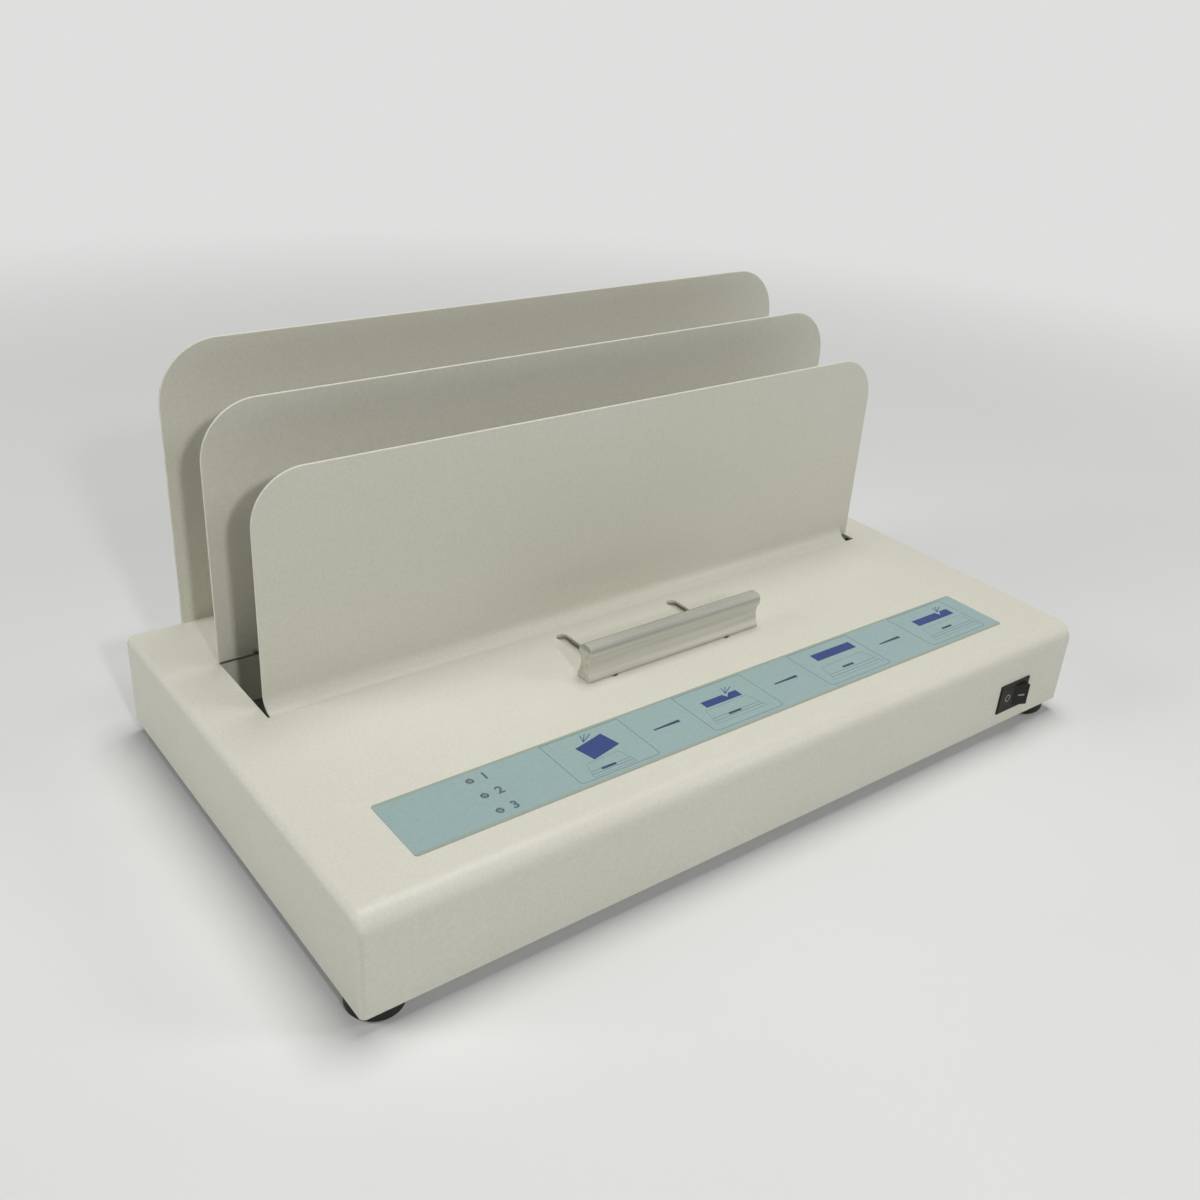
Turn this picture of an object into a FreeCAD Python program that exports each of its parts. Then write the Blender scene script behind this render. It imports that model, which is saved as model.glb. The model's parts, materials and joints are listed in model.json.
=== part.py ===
"""Desk binding machine for glued books: a painted steel housing with a heated trough,
two holding bays of upright plates and a sliding clamp.  Millimetres, +Z up, the front
faces -Y, the origin lies on the table under the middle of the housing."""
import FreeCAD, Part
import math
import os
import Sketcher
from FreeCAD import Placement, Rotation, Vector

DIMENSIONS = [
    # housing
    ("body_width", 380, "housing, left to right"),
    ("body_depth", 213, "housing, front to rear"),
    ("body_height", 41, "housing, without the feet"),
    ("sheet_gauge", 1.2, "thickness of the painted steel sheet"),
    ("front_edge_radius", 8, "rounding of the long front top edge"),
    ("side_edge_radius", 3.5, "rounding of the side top edges"),
    ("rear_edge_radius", 1.5, "rounding of the rear top edge"),
    ("corner_radius", 2.2, "rounding of the upright corners"),
    ("part_gap", 0.3, "clearance between parts that lie side by side"),
    ("overcut", 1, "reach of a cutting tool beyond what it cuts"),
    # upright plates
    ("works_shift", 3, "the trough's middle, right of the housing's middle"),
    ("rear_inset", 0.3, "rear plate's back, in front of the housing's rear"),
    ("cooling_bay", 39.8, "clear depth between middle and rear plates"),
    ("binding_bay", 39.0, "clear depth between front and middle plates"),
    ("front_plate_margin", 23.5, "front plate and trough, narrower than the housing on each side"),
    ("rack_margin", 20.5, "middle and rear plates, narrower than the housing on each side"),
    ("rack_shift", 1, "middle and rear plates, right of the trough's middle"),
    ("rack_relief", 15, "cooling bay's floor, shorter than its plates at each end"),
    ("middle_plate_lift", 1.1, "middle plate's two ends above the housing's top"),
    ("front_plate_rise", 98.5, "front plate's top above the housing"),
    ("middle_plate_rise", 112.6, "middle plate's top above the housing"),
    ("rear_plate_rise", 125, "rear plate's top above the housing"),
    ("front_plate_corner", 22, "rounding of the front plate's upper corners"),
    ("middle_plate_corner", 24, "rounding of the middle plate's upper corners"),
    ("rear_plate_corner", 26, "rounding of the rear plate's upper corners"),
    ("large_bend", 7, "inside radius of the front and rear plates' bends"),
    ("small_bend", 1.5, "inside radius of every other bend"),
    ("edge_softening", 0.35, "rounding of the painted plate edges"),
    ("front_flange", 13, "front plate's foot, under the housing's top"),
    ("opening_left_gap", 1.6, "opening's left end beyond the front plate's"),
    ("opening_right_lap", 1.5, "front plate's right end beyond the opening's"),
    ("notch_margin", 1.4, "room round a slot in the front plate's foot"),
    ("foot_relief", 5.5, "front plate's foot, shorter than the plate at its right end"),
    ("stud_inset", 30.5, "outer rack studs from the rack's ends"),
    # slots, handle and clamp
    ("slot_spacing", 64, "between the two slots and the two handle screws"),
    ("slot_width", 5.7, "slot in the housing's top"),
    ("slot_length", 41.7, "slot, end to end"),
    ("slot_to_opening", 4.1, "slot's rear end to the trough opening"),
    ("handle_rest", 4.9, "slot's front end to the screw's middle at rest"),
    ("handle_height", 16.6, "handle, base to top"),
    ("handle_base", 8.4, "handle's base, front to rear"),
    ("handle_waist", 5.0, "handle's waist, front to rear"),
    ("handle_overhang_left", 13.5, "handle's left end beyond its screw"),
    ("handle_overhang_right", 19.0, "handle's right end beyond its screw"),
    ("handle_base_rise", 1.5, "top of the handle's straight base"),
    ("handle_waist_bottom", 5.6, "lower end of the handle's waist"),
    ("handle_waist_top", 9.4, "upper end of the handle's waist"),
    ("handle_head_bottom", 11.9, "lower edge of the handle's head"),
    ("handle_head_inset", 0.12, "handle's head behind its base"),
    ("handle_waist_blend", 3.6, "rounding into the handle's waist"),
    ("handle_front_radius", 2.2, "rounding of the head's front top edge"),
    ("handle_back_radius", 3.9, "rounding of the head's rear top edge"),
    ("handle_lip_radius", 1.0, "rounding of the head's lower edges"),
    ("handle_screw_radius", 1.7, "handle screw's shank"),
    ("handle_screw_room", 0.3, "round the handle screw in bush and carriage"),
    ("handle_screw_reach", 8, "handle screw's depth in the handle"),
    ("bush_clearance", 0.25, "bush to slot, on each side"),
    ("glide_gap", 0.2, "handle's base above the housing's top"),
    ("clamp_gauge", 1.5, "thickness of the carriage and jaw sheet"),
    ("carriage_width", 120, "carriage plate, left to right"),
    ("carriage_front", 42, "carriage plate ahead of the handle screws"),
    ("jaw_inset", 6.5, "jaw shorter than the front plate at each end"),
    ("jaw_set_back", 4.1, "jaw's rear face behind the front plate, at rest"),
    ("rivet_radius", 1.6, "rivet's shank"),
    ("rivet_gap", 0.1, "round a rivet in its hole"),
    ("rivet_head_radius", 3, "rivet's head"),
    ("rivet_head_height", 1.2, "rivet's head"),
    ("rivet_spacing", 32, "between rivets"),
    ("jaw_flange", 17, "jaw's flange under the carriage"),
    ("rail_length", 64, "guide rail, front to rear"),
    ("rail_lip", 5.5, "guide rail's lip under the carriage"),
    ("rail_flange", 8.25, "guide rail's flange on the housing's underside"),
    ("rail_set_back", 2, "rail's front end behind the carriage's"),
    # label and lamps
    ("label_margin", 31.5, "printed film, narrower than the housing on each side"),
    ("label_depth", 32.6, "printed film, front to rear"),
    ("label_front", 19.3, "printed film behind the housing's front"),
    ("label_gauge", 0.25, "thickness of the film"),
    ("label_corner", 1.3, "rounding of the film's corners"),
    ("lamp_from_left", 69, "lamps' row from the housing's left side"),
    ("lamp_spacing", 10.2, "between lamps"),
    ("lamp_radius", 1.5, "lamp's lens"),
    ("lamp_proud", 0.5, "lamp's tip above the film"),
    ("lamp_lift", 2, "lamp's body above its board"),
    ("lamp_collar", 0.4, "lamp's collar, beyond the lens"),
    ("lamp_collar_height", 1, "lamp's collar"),
    ("leg_spacing", 1.8, "between a lamp's two legs"),
    ("leg_width", 0.5, "lamp's leg, square"),
    # trough and heater
    ("tray_floor", 8, "heater tray above the housing's bottom edge"),
    ("tray_front_wall", 13, "height of the tray's front wall"),
    ("tray_left_room", 20, "tray's room left of the trough opening"),
    ("tray_rear_lip", 0.3, "tray's rear wall above the housing's top"),
    ("insulation_gauge", 3, "insulation board"),
    ("heater_gauge", 1.5, "flat heater element"),
    ("heating_plate_gauge", 6, "aluminium heating plate"),
    ("jaw_clearance", 0.8, "jaw's lower edge above the heating plate"),
    ("standoff_radius", 4, "round spacers"),
    ("standoff_inset", 16.5, "outer tray spacers from the trough's ends"),
    ("standoff_offset", 13, "tray spacers from the tray's middle line"),
    ("tray_front_room", 2.55, "tray's front ahead of the front plate's"),
    ("heater_margin", 3, "heater element to the tray's walls"),
    ("hot_plate_rounding", 1, "heating plate's upper edges"),
    ("screw_end_room", 1, "insulation round a screw's end"),
    ("lug_offset", 11, "thermostat's middle from the tray's left end"),
    ("thermostat_back", 16, "thermostat's middle behind the tray's front"),
    ("thermostat_flange_radius", 7.5, "thermostat's flange"),
    ("thermostat_flange_height", 4.5, "thermostat's flange"),
    ("thermostat_cap_radius", 6.5, "thermostat's cap"),
    ("thermostat_cap_height", 4.5, "thermostat's cap above its flange"),
    ("thermostat_blade_spacing", 8, "between the thermostat's blades"),
    ("thermostat_blade_width", 4, "thermostat's blade"),
    ("thermostat_blade_height", 6, "blade above the thermostat's cap"),
    ("fuse_back", 32, "thermal fuse behind the tray's front"),
    ("fuse_radius", 2.1, "thermal fuse's barrel"),
    ("fuse_length", 11, "thermal fuse's barrel"),
    ("fuse_wire_radius", 0.5, "thermal fuse's wires"),
    ("fuse_wire_length", 16, "thermal fuse, wire end to wire end"),
    ("fuse_foot_width", 6, "thermal fuse's clip"),
    ("fuse_foot_depth", 4, "thermal fuse's clip"),
    ("fuse_foot_height", 2, "thermal fuse's clip"),
    # switch
    ("switch_width", 21, "switch bezel, left to right"),
    ("switch_height", 15, "switch bezel, bottom to top"),
    ("switch_from_right", 39.6, "switch's middle from the housing's right side"),
    ("switch_level", 14.2, "switch's middle above the housing's bottom edge"),
    ("switch_bezel", 0.8, "bezel in front of the housing"),
    ("switch_depth", 19, "switch body behind the bezel"),
    ("switch_wall", 2, "bezel's and body's wall around the rocker"),
    ("rocker_tilt", 11, "rocker's lean to either side, degrees"),
    ("rocker_depth", 3.2, "rocker behind its pivot"),
    ("pivot_radius", 1.0, "rocker's pins"),
    ("pivot_gap", 0.06, "round the rocker's pins"),
    ("pivot_depth", 2, "rocker's pins behind the bezel's face"),
    ("pivot_reach", 0.6, "rocker's pins in the walls above and below"),
    ("switch_body_width", 18.6, "switch body, left to right"),
    ("switch_body_height", 12.8, "switch body, bottom to top"),
    ("switch_rounding", 0.5, "bezel's outer edges"),
    ("well_room", 4, "room behind the rocker"),
    ("rocker_side_gap", 0.6, "rocker's ends to the bezel"),
    ("rocker_edge_gap", 0.2, "rocker's long edges to the bezel"),
    ("blade_gauge", 0.8, "terminal blades"),
    ("blade_width", 4.8, "terminal blades"),
    ("blade_reach", 7, "terminal blades behind their body"),
    ("switch_blade_spacing", 10, "between the switch's blades"),
    # mains inlet
    ("inlet_width", 27, "inlet body, left to right"),
    ("inlet_height", 20, "inlet body, bottom to top"),
    ("inlet_depth", 20, "inlet body behind its flange"),
    ("inlet_flange", 2, "inlet's flange, thickness and overlap"),
    ("inlet_from_right", 60, "inlet's middle from the housing's right side"),
    ("inlet_level", 19, "inlet's middle above the housing's bottom edge"),
    ("inlet_side_wall", 1.6, "inlet's walls left and right of its socket"),
    ("inlet_edge_wall", 1.8, "inlet's walls above and below its socket"),
    ("inlet_floor", 3, "inlet's wall behind its socket"),
    ("inlet_bevel", 5, "socket's two bevelled corners"),
    ("pin_spacing", 7, "between neighbouring pins, across"),
    ("pin_offset", 2, "pins above or below the socket's middle"),
    ("pin_gauge", 2, "pins, left to right"),
    ("pin_height", 4, "pins, bottom to top"),
    ("pin_set_back", 6, "pins' tips inside the flange's face"),
    # boards
    ("board_gauge", 1.6, "circuit boards"),
    ("board_width", 100, "control board, left to right"),
    ("board_depth", 56, "control board, front to rear"),
    ("board_level", 6, "control board above the base plate"),
    ("board_from_left", 14, "control board from the housing's left side"),
    ("board_to_tray", 9.75, "control board ahead of the heater tray"),
    ("panel_board_width", 30, "lamp board, left to right"),
    ("panel_board_depth", 36, "lamp board, front to rear"),
    ("panel_board_drop", 9.8, "lamp board below the housing's top sheet"),
    ("panel_hole_inset", 4, "lamp board's holes from its edges"),
    ("shoulder_radius", 2.8, "lamp board's studs above the board"),
    ("board_hole_inset", 4.5, "control board's holes from its edges"),
    ("transformer_right", 12, "transformer's core on the board, from its left"),
    ("transformer_back", 16, "transformer's core on the board, from its front"),
    ("transformer_width", 32, "transformer's core"),
    ("transformer_depth", 24, "transformer's core"),
    ("transformer_height", 22, "transformer's core"),
    ("winding_overlap", 4, "winding beyond the core, and inside its ends"),
    ("winding_height", 18, "transformer's winding"),
    ("relay_right", 56, "relay on the board, from its left"),
    ("relay_back", 29, "relay on the board, from its front"),
    ("relay_width", 15.5, "relay"),
    ("relay_depth", 19, "relay"),
    ("relay_height", 15.5, "relay"),
    ("buzzer_right", 64, "buzzer's middle on the board, from its left"),
    ("buzzer_back", 18, "buzzer's middle on the board, from its front"),
    ("buzzer_radius", 6, "buzzer"),
    ("buzzer_height", 9, "buzzer"),
    ("large_can_right", 50, "large capacitor on the board, from its left"),
    ("large_can_back", 20, "large capacitor on the board, from its front"),
    ("large_can_radius", 4, "large capacitor"),
    ("large_can_height", 14, "large capacitor"),
    ("small_can_right", 80, "small capacitor on the board, from its left"),
    ("small_can_back", 16, "small capacitor on the board, from its front"),
    ("small_can_radius", 3, "small capacitor"),
    ("small_can_height", 9, "small capacitor"),
    ("chip_right", 76, "controller chip on the board, from its left"),
    ("chip_back", 24, "controller chip on the board, from its front"),
    ("chip_width", 7.6, "controller chip"),
    ("chip_length", 25, "controller chip"),
    ("chip_height", 3.5, "controller chip"),
    ("terminal_right", 24, "terminal block on the board, from its left"),
    ("terminal_back", 46, "terminal block on the board, from its front"),
    ("terminal_width", 24, "terminal block"),
    ("terminal_depth", 9, "terminal block"),
    ("terminal_height", 11, "terminal block"),
    ("connector_right", 50, "lamp connector on the board, from its left"),
    ("connector_back", 1, "lamp connector on the board, from its front"),
    ("connector_width", 10, "lamp connector"),
    ("connector_depth", 5, "lamp connector"),
    ("connector_height", 6, "lamp connector"),
    # feet and fasteners
    ("foot_height", 7, "rubber foot"),
    ("foot_radius", 10.8, "rubber foot"),
    ("foot_inset_side", 11.2, "front foot's middle from the housing's ends"),
    ("rear_foot_inset_side", 14.5, "rear foot's middle from the housing's ends"),
    ("foot_inset_front", 12.2, "foot's middle from the housing's front and rear"),
    ("foot_rounding", 2.2, "foot's lower edge"),
    ("foot_seat", 3.85, "foot's screw seat above the table"),
    ("foot_recess_room", 1, "round the screw's head in the foot"),
    ("thread_gap", 0.08, "screw to its thread"),
    ("thread_end", 1.5, "screw or stud beyond its thread"),
    ("vent_from_front", 52, "air slots in the base plate"),
    ("vent_spacing", 10, "between the air slots"),
    ("vent_width", 3, "air slot"),
    ("vent_length", 26, "air slot"),
    ("screw_radius", 1.9, "shank of the housing's screws"),
    ("screw_head_radius", 3.8, "head of the housing's screws"),
    ("screw_head_height", 2.2, "head of the housing's screws"),
    ("hole_clearance", 0.2, "round a screw in its hole"),
    ("nut_radius", 4, "nut across its corners, halved"),
    ("nut_height", 3, "nut"),
    ("tab_from_side", 100, "front and rear screw tabs from the housing's sides"),
    ("tab_width", 15, "screw tab"),
    ("tab_reach", 12, "screw tab's two legs"),
    ("tab_hole", 7.2, "screw tab's hole from the wall"),
    ("tab_gauge", 1.5, "screw tab's sheet"),
    # leads
    ("lead_radius", 1.6, "insulated lead"),
    ("lead_bend", 9, "bend of a lead, at its middle line"),
    ("lead_end_gap", 0.2, "lead's end to its terminal"),
    ("lead_lift", 1.8, "low leads above the base plate"),
    ("lead_margin", 0.9, "lead's rear run beyond its bend"),
    ("lead_tray_room", 3.5, "low leads to the heater tray"),
    ("lead_board_room", 5, "live lead beside the control board"),
    ("block_wire_level", 6, "wires into the terminal block, above the board"),
    ("block_wire_inset", 6, "neutral lead from the terminal block's left"),
    ("heater_wire_drop", 2.5, "heater lead below the blade's tip"),
    ("lamp_wire_drop", 7.5, "lamp lead's level run below the lamp board"),
    ("lamp_wire_inset", 5, "lamp lead's end from the lamp board's rear"),
]

doc = FreeCAD.newDocument("binding_machine")
dims = doc.addObject("Spreadsheet::Sheet", "Dims")
for row, (alias, value, note) in enumerate(DIMENSIONS, 1):
    dims.set(f"A{row}", note)
    dims.set(f"B{row}", str(value))
    dims.setAlias(f"B{row}", alias)
doc.recompute()

# Levels and places that follow from the sheet, as expressions.
MIDDLE = "Dims.works_shift"
LEFT = "(-Dims.body_width / 2)"
RIGHT = "(Dims.body_width / 2)"
FRONT = "(-Dims.body_depth / 2)"
REAR = "(Dims.body_depth / 2)"
BOTTOM = "Dims.foot_height"
TOP = f"({BOTTOM} + Dims.body_height)"
UNDERSIDE = f"({TOP} - Dims.sheet_gauge)"
BASE_TOP = f"({BOTTOM} + Dims.sheet_gauge)"
REAR_FACE = f"({REAR} - Dims.rear_inset - Dims.sheet_gauge)"
MIDDLE_FACE = f"({REAR_FACE} - Dims.cooling_bay - Dims.sheet_gauge)"
FRONT_BACK = f"({MIDDLE_FACE} - Dims.binding_bay)"
FRONT_FACE = f"({FRONT_BACK} - Dims.sheet_gauge)"
OPENING_FRONT = f"({FRONT_FACE} - Dims.large_bend - Dims.part_gap)"
OPENING_REAR = f"({MIDDLE_FACE} + Dims.sheet_gauge + Dims.part_gap)"
PLATE_WIDTH = "(Dims.body_width - 2 * Dims.front_plate_margin)"
RACK_WIDTH = "(Dims.body_width - 2 * Dims.rack_margin)"
LABEL_WIDTH = "(Dims.body_width - 2 * Dims.label_margin)"
JAW_WIDTH = f"({PLATE_WIDTH} - 2 * Dims.jaw_inset)"
OPENING_LEFT = f"({MIDDLE} - {PLATE_WIDTH} / 2 - Dims.opening_left_gap)"
OPENING_RIGHT = f"({MIDDLE} + {PLATE_WIDTH} / 2 - Dims.opening_right_lap)"
RACK_MIDDLE = f"({MIDDLE} + Dims.rack_shift)"
SLOT_REAR = f"({OPENING_FRONT} - Dims.slot_to_opening)"
SLOT_FRONT = f"({SLOT_REAR} - Dims.slot_length)"
SCREW_LINE = f"({SLOT_FRONT} + Dims.handle_rest)"
CARRIAGE_TOP = f"({UNDERSIDE} - Dims.sheet_gauge - Dims.part_gap)"
CARRIAGE_BOTTOM = f"({CARRIAGE_TOP} - Dims.clamp_gauge)"
JAW_REAR = f"({FRONT_BACK} + Dims.jaw_set_back)"
TRAY_BOTTOM = f"({BOTTOM} + Dims.tray_floor)"
TRAY_INSIDE = f"({TRAY_BOTTOM} + Dims.sheet_gauge)"
HEATER_BOTTOM = f"({TRAY_INSIDE} + Dims.insulation_gauge)"
PLATE_BOTTOM = f"({HEATER_BOTTOM} + Dims.heater_gauge)"
PLATE_TOP = f"({PLATE_BOTTOM} + Dims.heating_plate_gauge)"

X, Y, Z = Vector(1, 0, 0), Vector(0, 1, 0), Vector(0, 0, 1)
TURNS = {"x": Rotation(Y, 90), "y": Rotation(X, -90), "z": Rotation()}
parts = []


def size(text):
    """The number that an expression gives now."""
    return float(dims.evalExpression(text))


def place(thing, corner, turn=Rotation()):
    thing.Placement = Placement(Vector(), turn)
    for axis, text in zip("xyz", corner):
        thing.setExpression(f"Placement.Base.{axis}", text)
    return thing


def box(name, corner, lengths):
    """A block from its lowest corner."""
    block = doc.addObject("Part::Box", name)
    for prop, text in zip(("Length", "Width", "Height"), lengths):
        block.setExpression(prop, text)
    return place(block, corner)


def rod(name, foot, radius, length, along="z"):
    """A cylinder from the middle of its lower end."""
    cylinder = doc.addObject("Part::Cylinder", name)
    cylinder.setExpression("Radius", radius)
    cylinder.setExpression("Height", length)
    return place(cylinder, foot, TURNS[along])


def fuse(name, *pieces):
    joined = doc.addObject("Part::MultiFuse", name)
    joined.Shapes = list(pieces)
    joined.Refine = True
    return joined


def group(name, pieces):
    """Separate solids that share one node."""
    compound = doc.addObject("Part::Compound", name)
    compound.Links = list(pieces)
    return compound


def cut(name, base, tools):
    pierced = doc.addObject("Part::Cut", name)
    pierced.Base = base
    pierced.Tool = tools[0] if len(tools) == 1 else group(name + "_tools", tools)
    return pierced


def node(label, thing):
    """Name a finished sub-part; its label is its file's name."""
    thing.Label = label
    parts.append(thing)
    return thing


def edges_at(shape, along, spots):
    """Numbers of the straight edges along one axis through the given places across it."""
    others = [axis for axis in "xyz" if axis != along]
    direction = {"x": X, "y": Y, "z": Z}[along]
    found = []
    for number, edge in enumerate(shape.Edges, 1):
        if edge.Curve.TypeId != "Part::GeomLine" or abs(edge.Curve.Direction.dot(direction)) < 0.999:
            continue
        middle = edge.BoundBox.Center
        place_across = [getattr(middle, axis) for axis in others]
        if any(math.dist(place_across, spot) < 0.01 for spot in spots):
            found.append(number)
    return found


def outline(body, plane, points):
    """A closed sketch of straight runs on one of the body's own planes."""
    sketch = body.newObject("Sketcher::SketchObject", body.Name + "_outline")
    role = next(item for item in body.Origin.OriginFeatures if item.Role == plane)
    sketch.AttachmentSupport = (role, [""])
    sketch.MapMode = "FlatFace"
    corners = [Vector(size(across), size(up), 0) for across, up in points]
    for index, corner in enumerate(corners):
        after = corners[(index + 1) % len(corners)]
        sketch.addGeometry(Part.LineSegment(corner, after), False)
    for index, corner in enumerate(corners):
        after = (index + 1) % len(corners)
        sketch.addConstraint(Sketcher.Constraint("Coincident", index, 2, after, 1))
        for kind, text, value in zip(("DistanceX", "DistanceY"), points[index], corner):
            number = sketch.addConstraint(Sketcher.Constraint(kind, -1, 1, index, 1, value))
            sketch.setExpression(f"Constraints[{number}]", text)
    return sketch


def profile(name, plane, points, length, start):
    """A body pushed out from its outline, along +X, +Y or +Z."""
    body = doc.addObject("PartDesign::Body", name)
    sketch = outline(body, plane, points)
    pad = body.newObject("PartDesign::Pad", name + "_pad")
    pad.Profile = sketch
    pad.Reversed = plane == "XZ_Plane"
    pad.setExpression("Length", length)
    place(body, start)
    doc.recompute()
    return body


def soften(body, radius, numbers):
    """Round some edges of a body's last feature."""
    fillet = body.newObject("PartDesign::Fillet", body.Name + "_round")
    base = body.Group[-2]
    fillet.Base = (base, [f"Edge{number}" for number in numbers])
    fillet.setExpression("Radius", radius)
    body.Tip = fillet
    doc.recompute()
    return fillet


def round_along(body, along, spots, radius):
    """Round the edges that run along one axis through places given as expressions."""
    places = [[size(text) for text in spot] for spot in spots]
    return soften(body, radius, edges_at(body.Tip.Shape, along, places))


def rounded_box(name, block, radii):
    """A block with some edges rounded: radii holds (axis, spots, alias)."""
    doc.recompute()
    rounded = doc.addObject("Part::Fillet", name)
    rounded.Base = block
    rounded.Edges = [(number, radius, radius)
                     for along, spots, radius in radii
                     for number in edges_at(block.Shape, along, spots)]
    return rounded


# ---- housing ---------------------------------------------------------------------------

def housing_block(name, inset):
    """The housing's outside, or with an inset its inside, with rounded edges."""
    block = box(name + "_block",
                (f"{LEFT} + {inset}", f"{FRONT} + {inset}", BOTTOM),
                (f"Dims.body_width - 2 * {inset}", f"Dims.body_depth - 2 * {inset}",
                 f"Dims.body_height - {inset}"))
    doc.recompute()
    bounds = block.Shape.BoundBox
    thickness = size(inset)
    sides = [bounds.XMin, bounds.XMax]
    corners = [[side, end] for side in sides for end in (bounds.YMin, bounds.YMax)]
    radii = [
        ("z", corners, size("Dims.corner_radius") - thickness),
        ("y", [[side, bounds.ZMax] for side in sides], size("Dims.side_edge_radius") - thickness),
        ("x", [[bounds.YMin, bounds.ZMax]], size("Dims.front_edge_radius") - thickness),
        ("x", [[bounds.YMax, bounds.ZMax]], size("Dims.rear_edge_radius") - thickness),
    ]
    return rounded_box(name, block, radii)


def slot_places():
    return [f"{MIDDLE} + {side} * Dims.slot_spacing / 2" for side in (-1, 1)]


def slot_tool(name, across, margin, bottom, height):
    """A slot with round ends, wider and longer by a margin all round."""
    radius = f"Dims.slot_width / 2 + {margin}"
    front = f"{SLOT_FRONT} + Dims.slot_width / 2"
    run = "Dims.slot_length - Dims.slot_width"
    straight = box(name + "_run", (f"{across} - ({radius})", front, bottom),
                   (f"2 * ({radius})", run, height))
    ends = [rod(f"{name}_end{index}", (across, place_along, bottom), radius, height)
            for index, place_along in enumerate((front, f"{front} + {run}"))]
    return fuse(name, straight, *ends)


def lamp_places():
    across = f"{LEFT} + Dims.lamp_from_left"
    middle = f"{FRONT} + Dims.label_front + Dims.label_depth / 2"
    return [(across, f"{middle} + {step} * Dims.lamp_spacing") for step in (-1, 0, 1)]


def rack_stud_places():
    along = f"({MIDDLE_FACE} + {REAR_FACE}) / 2 + Dims.sheet_gauge / 2"
    reach = f"({RACK_WIDTH} / 2 - Dims.stud_inset)"
    return [(f"{RACK_MIDDLE} + {step} / 3 * {reach}", along) for step in (-3, -1, 1, 3)]


SWITCH_X = f"({RIGHT} - Dims.switch_from_right)"
SWITCH_Z = f"({BOTTOM} + Dims.switch_level)"
INLET_X = f"({RIGHT} - Dims.inlet_from_right)"
INLET_Z = f"({BOTTOM} + Dims.inlet_level)"
TAB_PLACES = [
    (f"{LEFT} + Dims.tab_from_side", f"{FRONT} + Dims.sheet_gauge", 0),
    (f"{RIGHT} - Dims.tab_from_side", f"{FRONT} + Dims.sheet_gauge", 0),
    (f"{LEFT} + Dims.tab_from_side", f"{REAR} - Dims.sheet_gauge", 180),
    (f"{RIGHT} - Dims.tab_from_side", f"{REAR} - Dims.sheet_gauge", 180),
    (f"{LEFT} + Dims.sheet_gauge", "0", -90),
    (f"{RIGHT} - Dims.sheet_gauge", "0", 90),
]


def top_cover():
    shell = cut("cover_shell", housing_block("cover_outside", "0"),
                [housing_block("cover_inside", "Dims.sheet_gauge")])
    above = f"{UNDERSIDE} - Dims.overcut"
    through = "Dims.sheet_gauge + 2 * Dims.overcut"
    tools = [box("trough_opening", (OPENING_LEFT, OPENING_FRONT, above),
                 (f"{OPENING_RIGHT} - {OPENING_LEFT}", f"{OPENING_REAR} - {OPENING_FRONT}", through))]
    for index, across in enumerate(slot_places()):
        tools.append(slot_tool(f"cover_slot{index}", across, "0", above, through))
    for index, (across, along) in enumerate(lamp_places()):
        tools.append(rod(f"lamp_hole{index}", (across, along, above),
                         "Dims.lamp_radius + Dims.hole_clearance", through))
    for index, (across, along) in enumerate(rack_stud_places()):
        tools.append(rod(f"rack_hole{index}", (across, along, above),
                         "Dims.screw_radius + Dims.hole_clearance", through))
    fit = "Dims.hole_clearance"
    tools.append(box("switch_hole",
                     (f"{SWITCH_X} - Dims.switch_body_width / 2 - {fit}", f"{FRONT} - Dims.overcut",
                      f"{SWITCH_Z} - Dims.switch_body_height / 2 - {fit}"),
                     (f"Dims.switch_body_width + 2 * {fit}", through,
                      f"Dims.switch_body_height + 2 * {fit}")))
    tools.append(box("inlet_hole",
                     (f"{INLET_X} - Dims.inlet_width / 2 - {fit}",
                      f"{REAR} - Dims.sheet_gauge - Dims.overcut",
                      f"{INLET_Z} - Dims.inlet_height / 2 - {fit}"),
                     (f"Dims.inlet_width + 2 * {fit}", through, f"Dims.inlet_height + 2 * {fit}")))
    node("top_cover", cut("cover", shell, tools))


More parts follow.
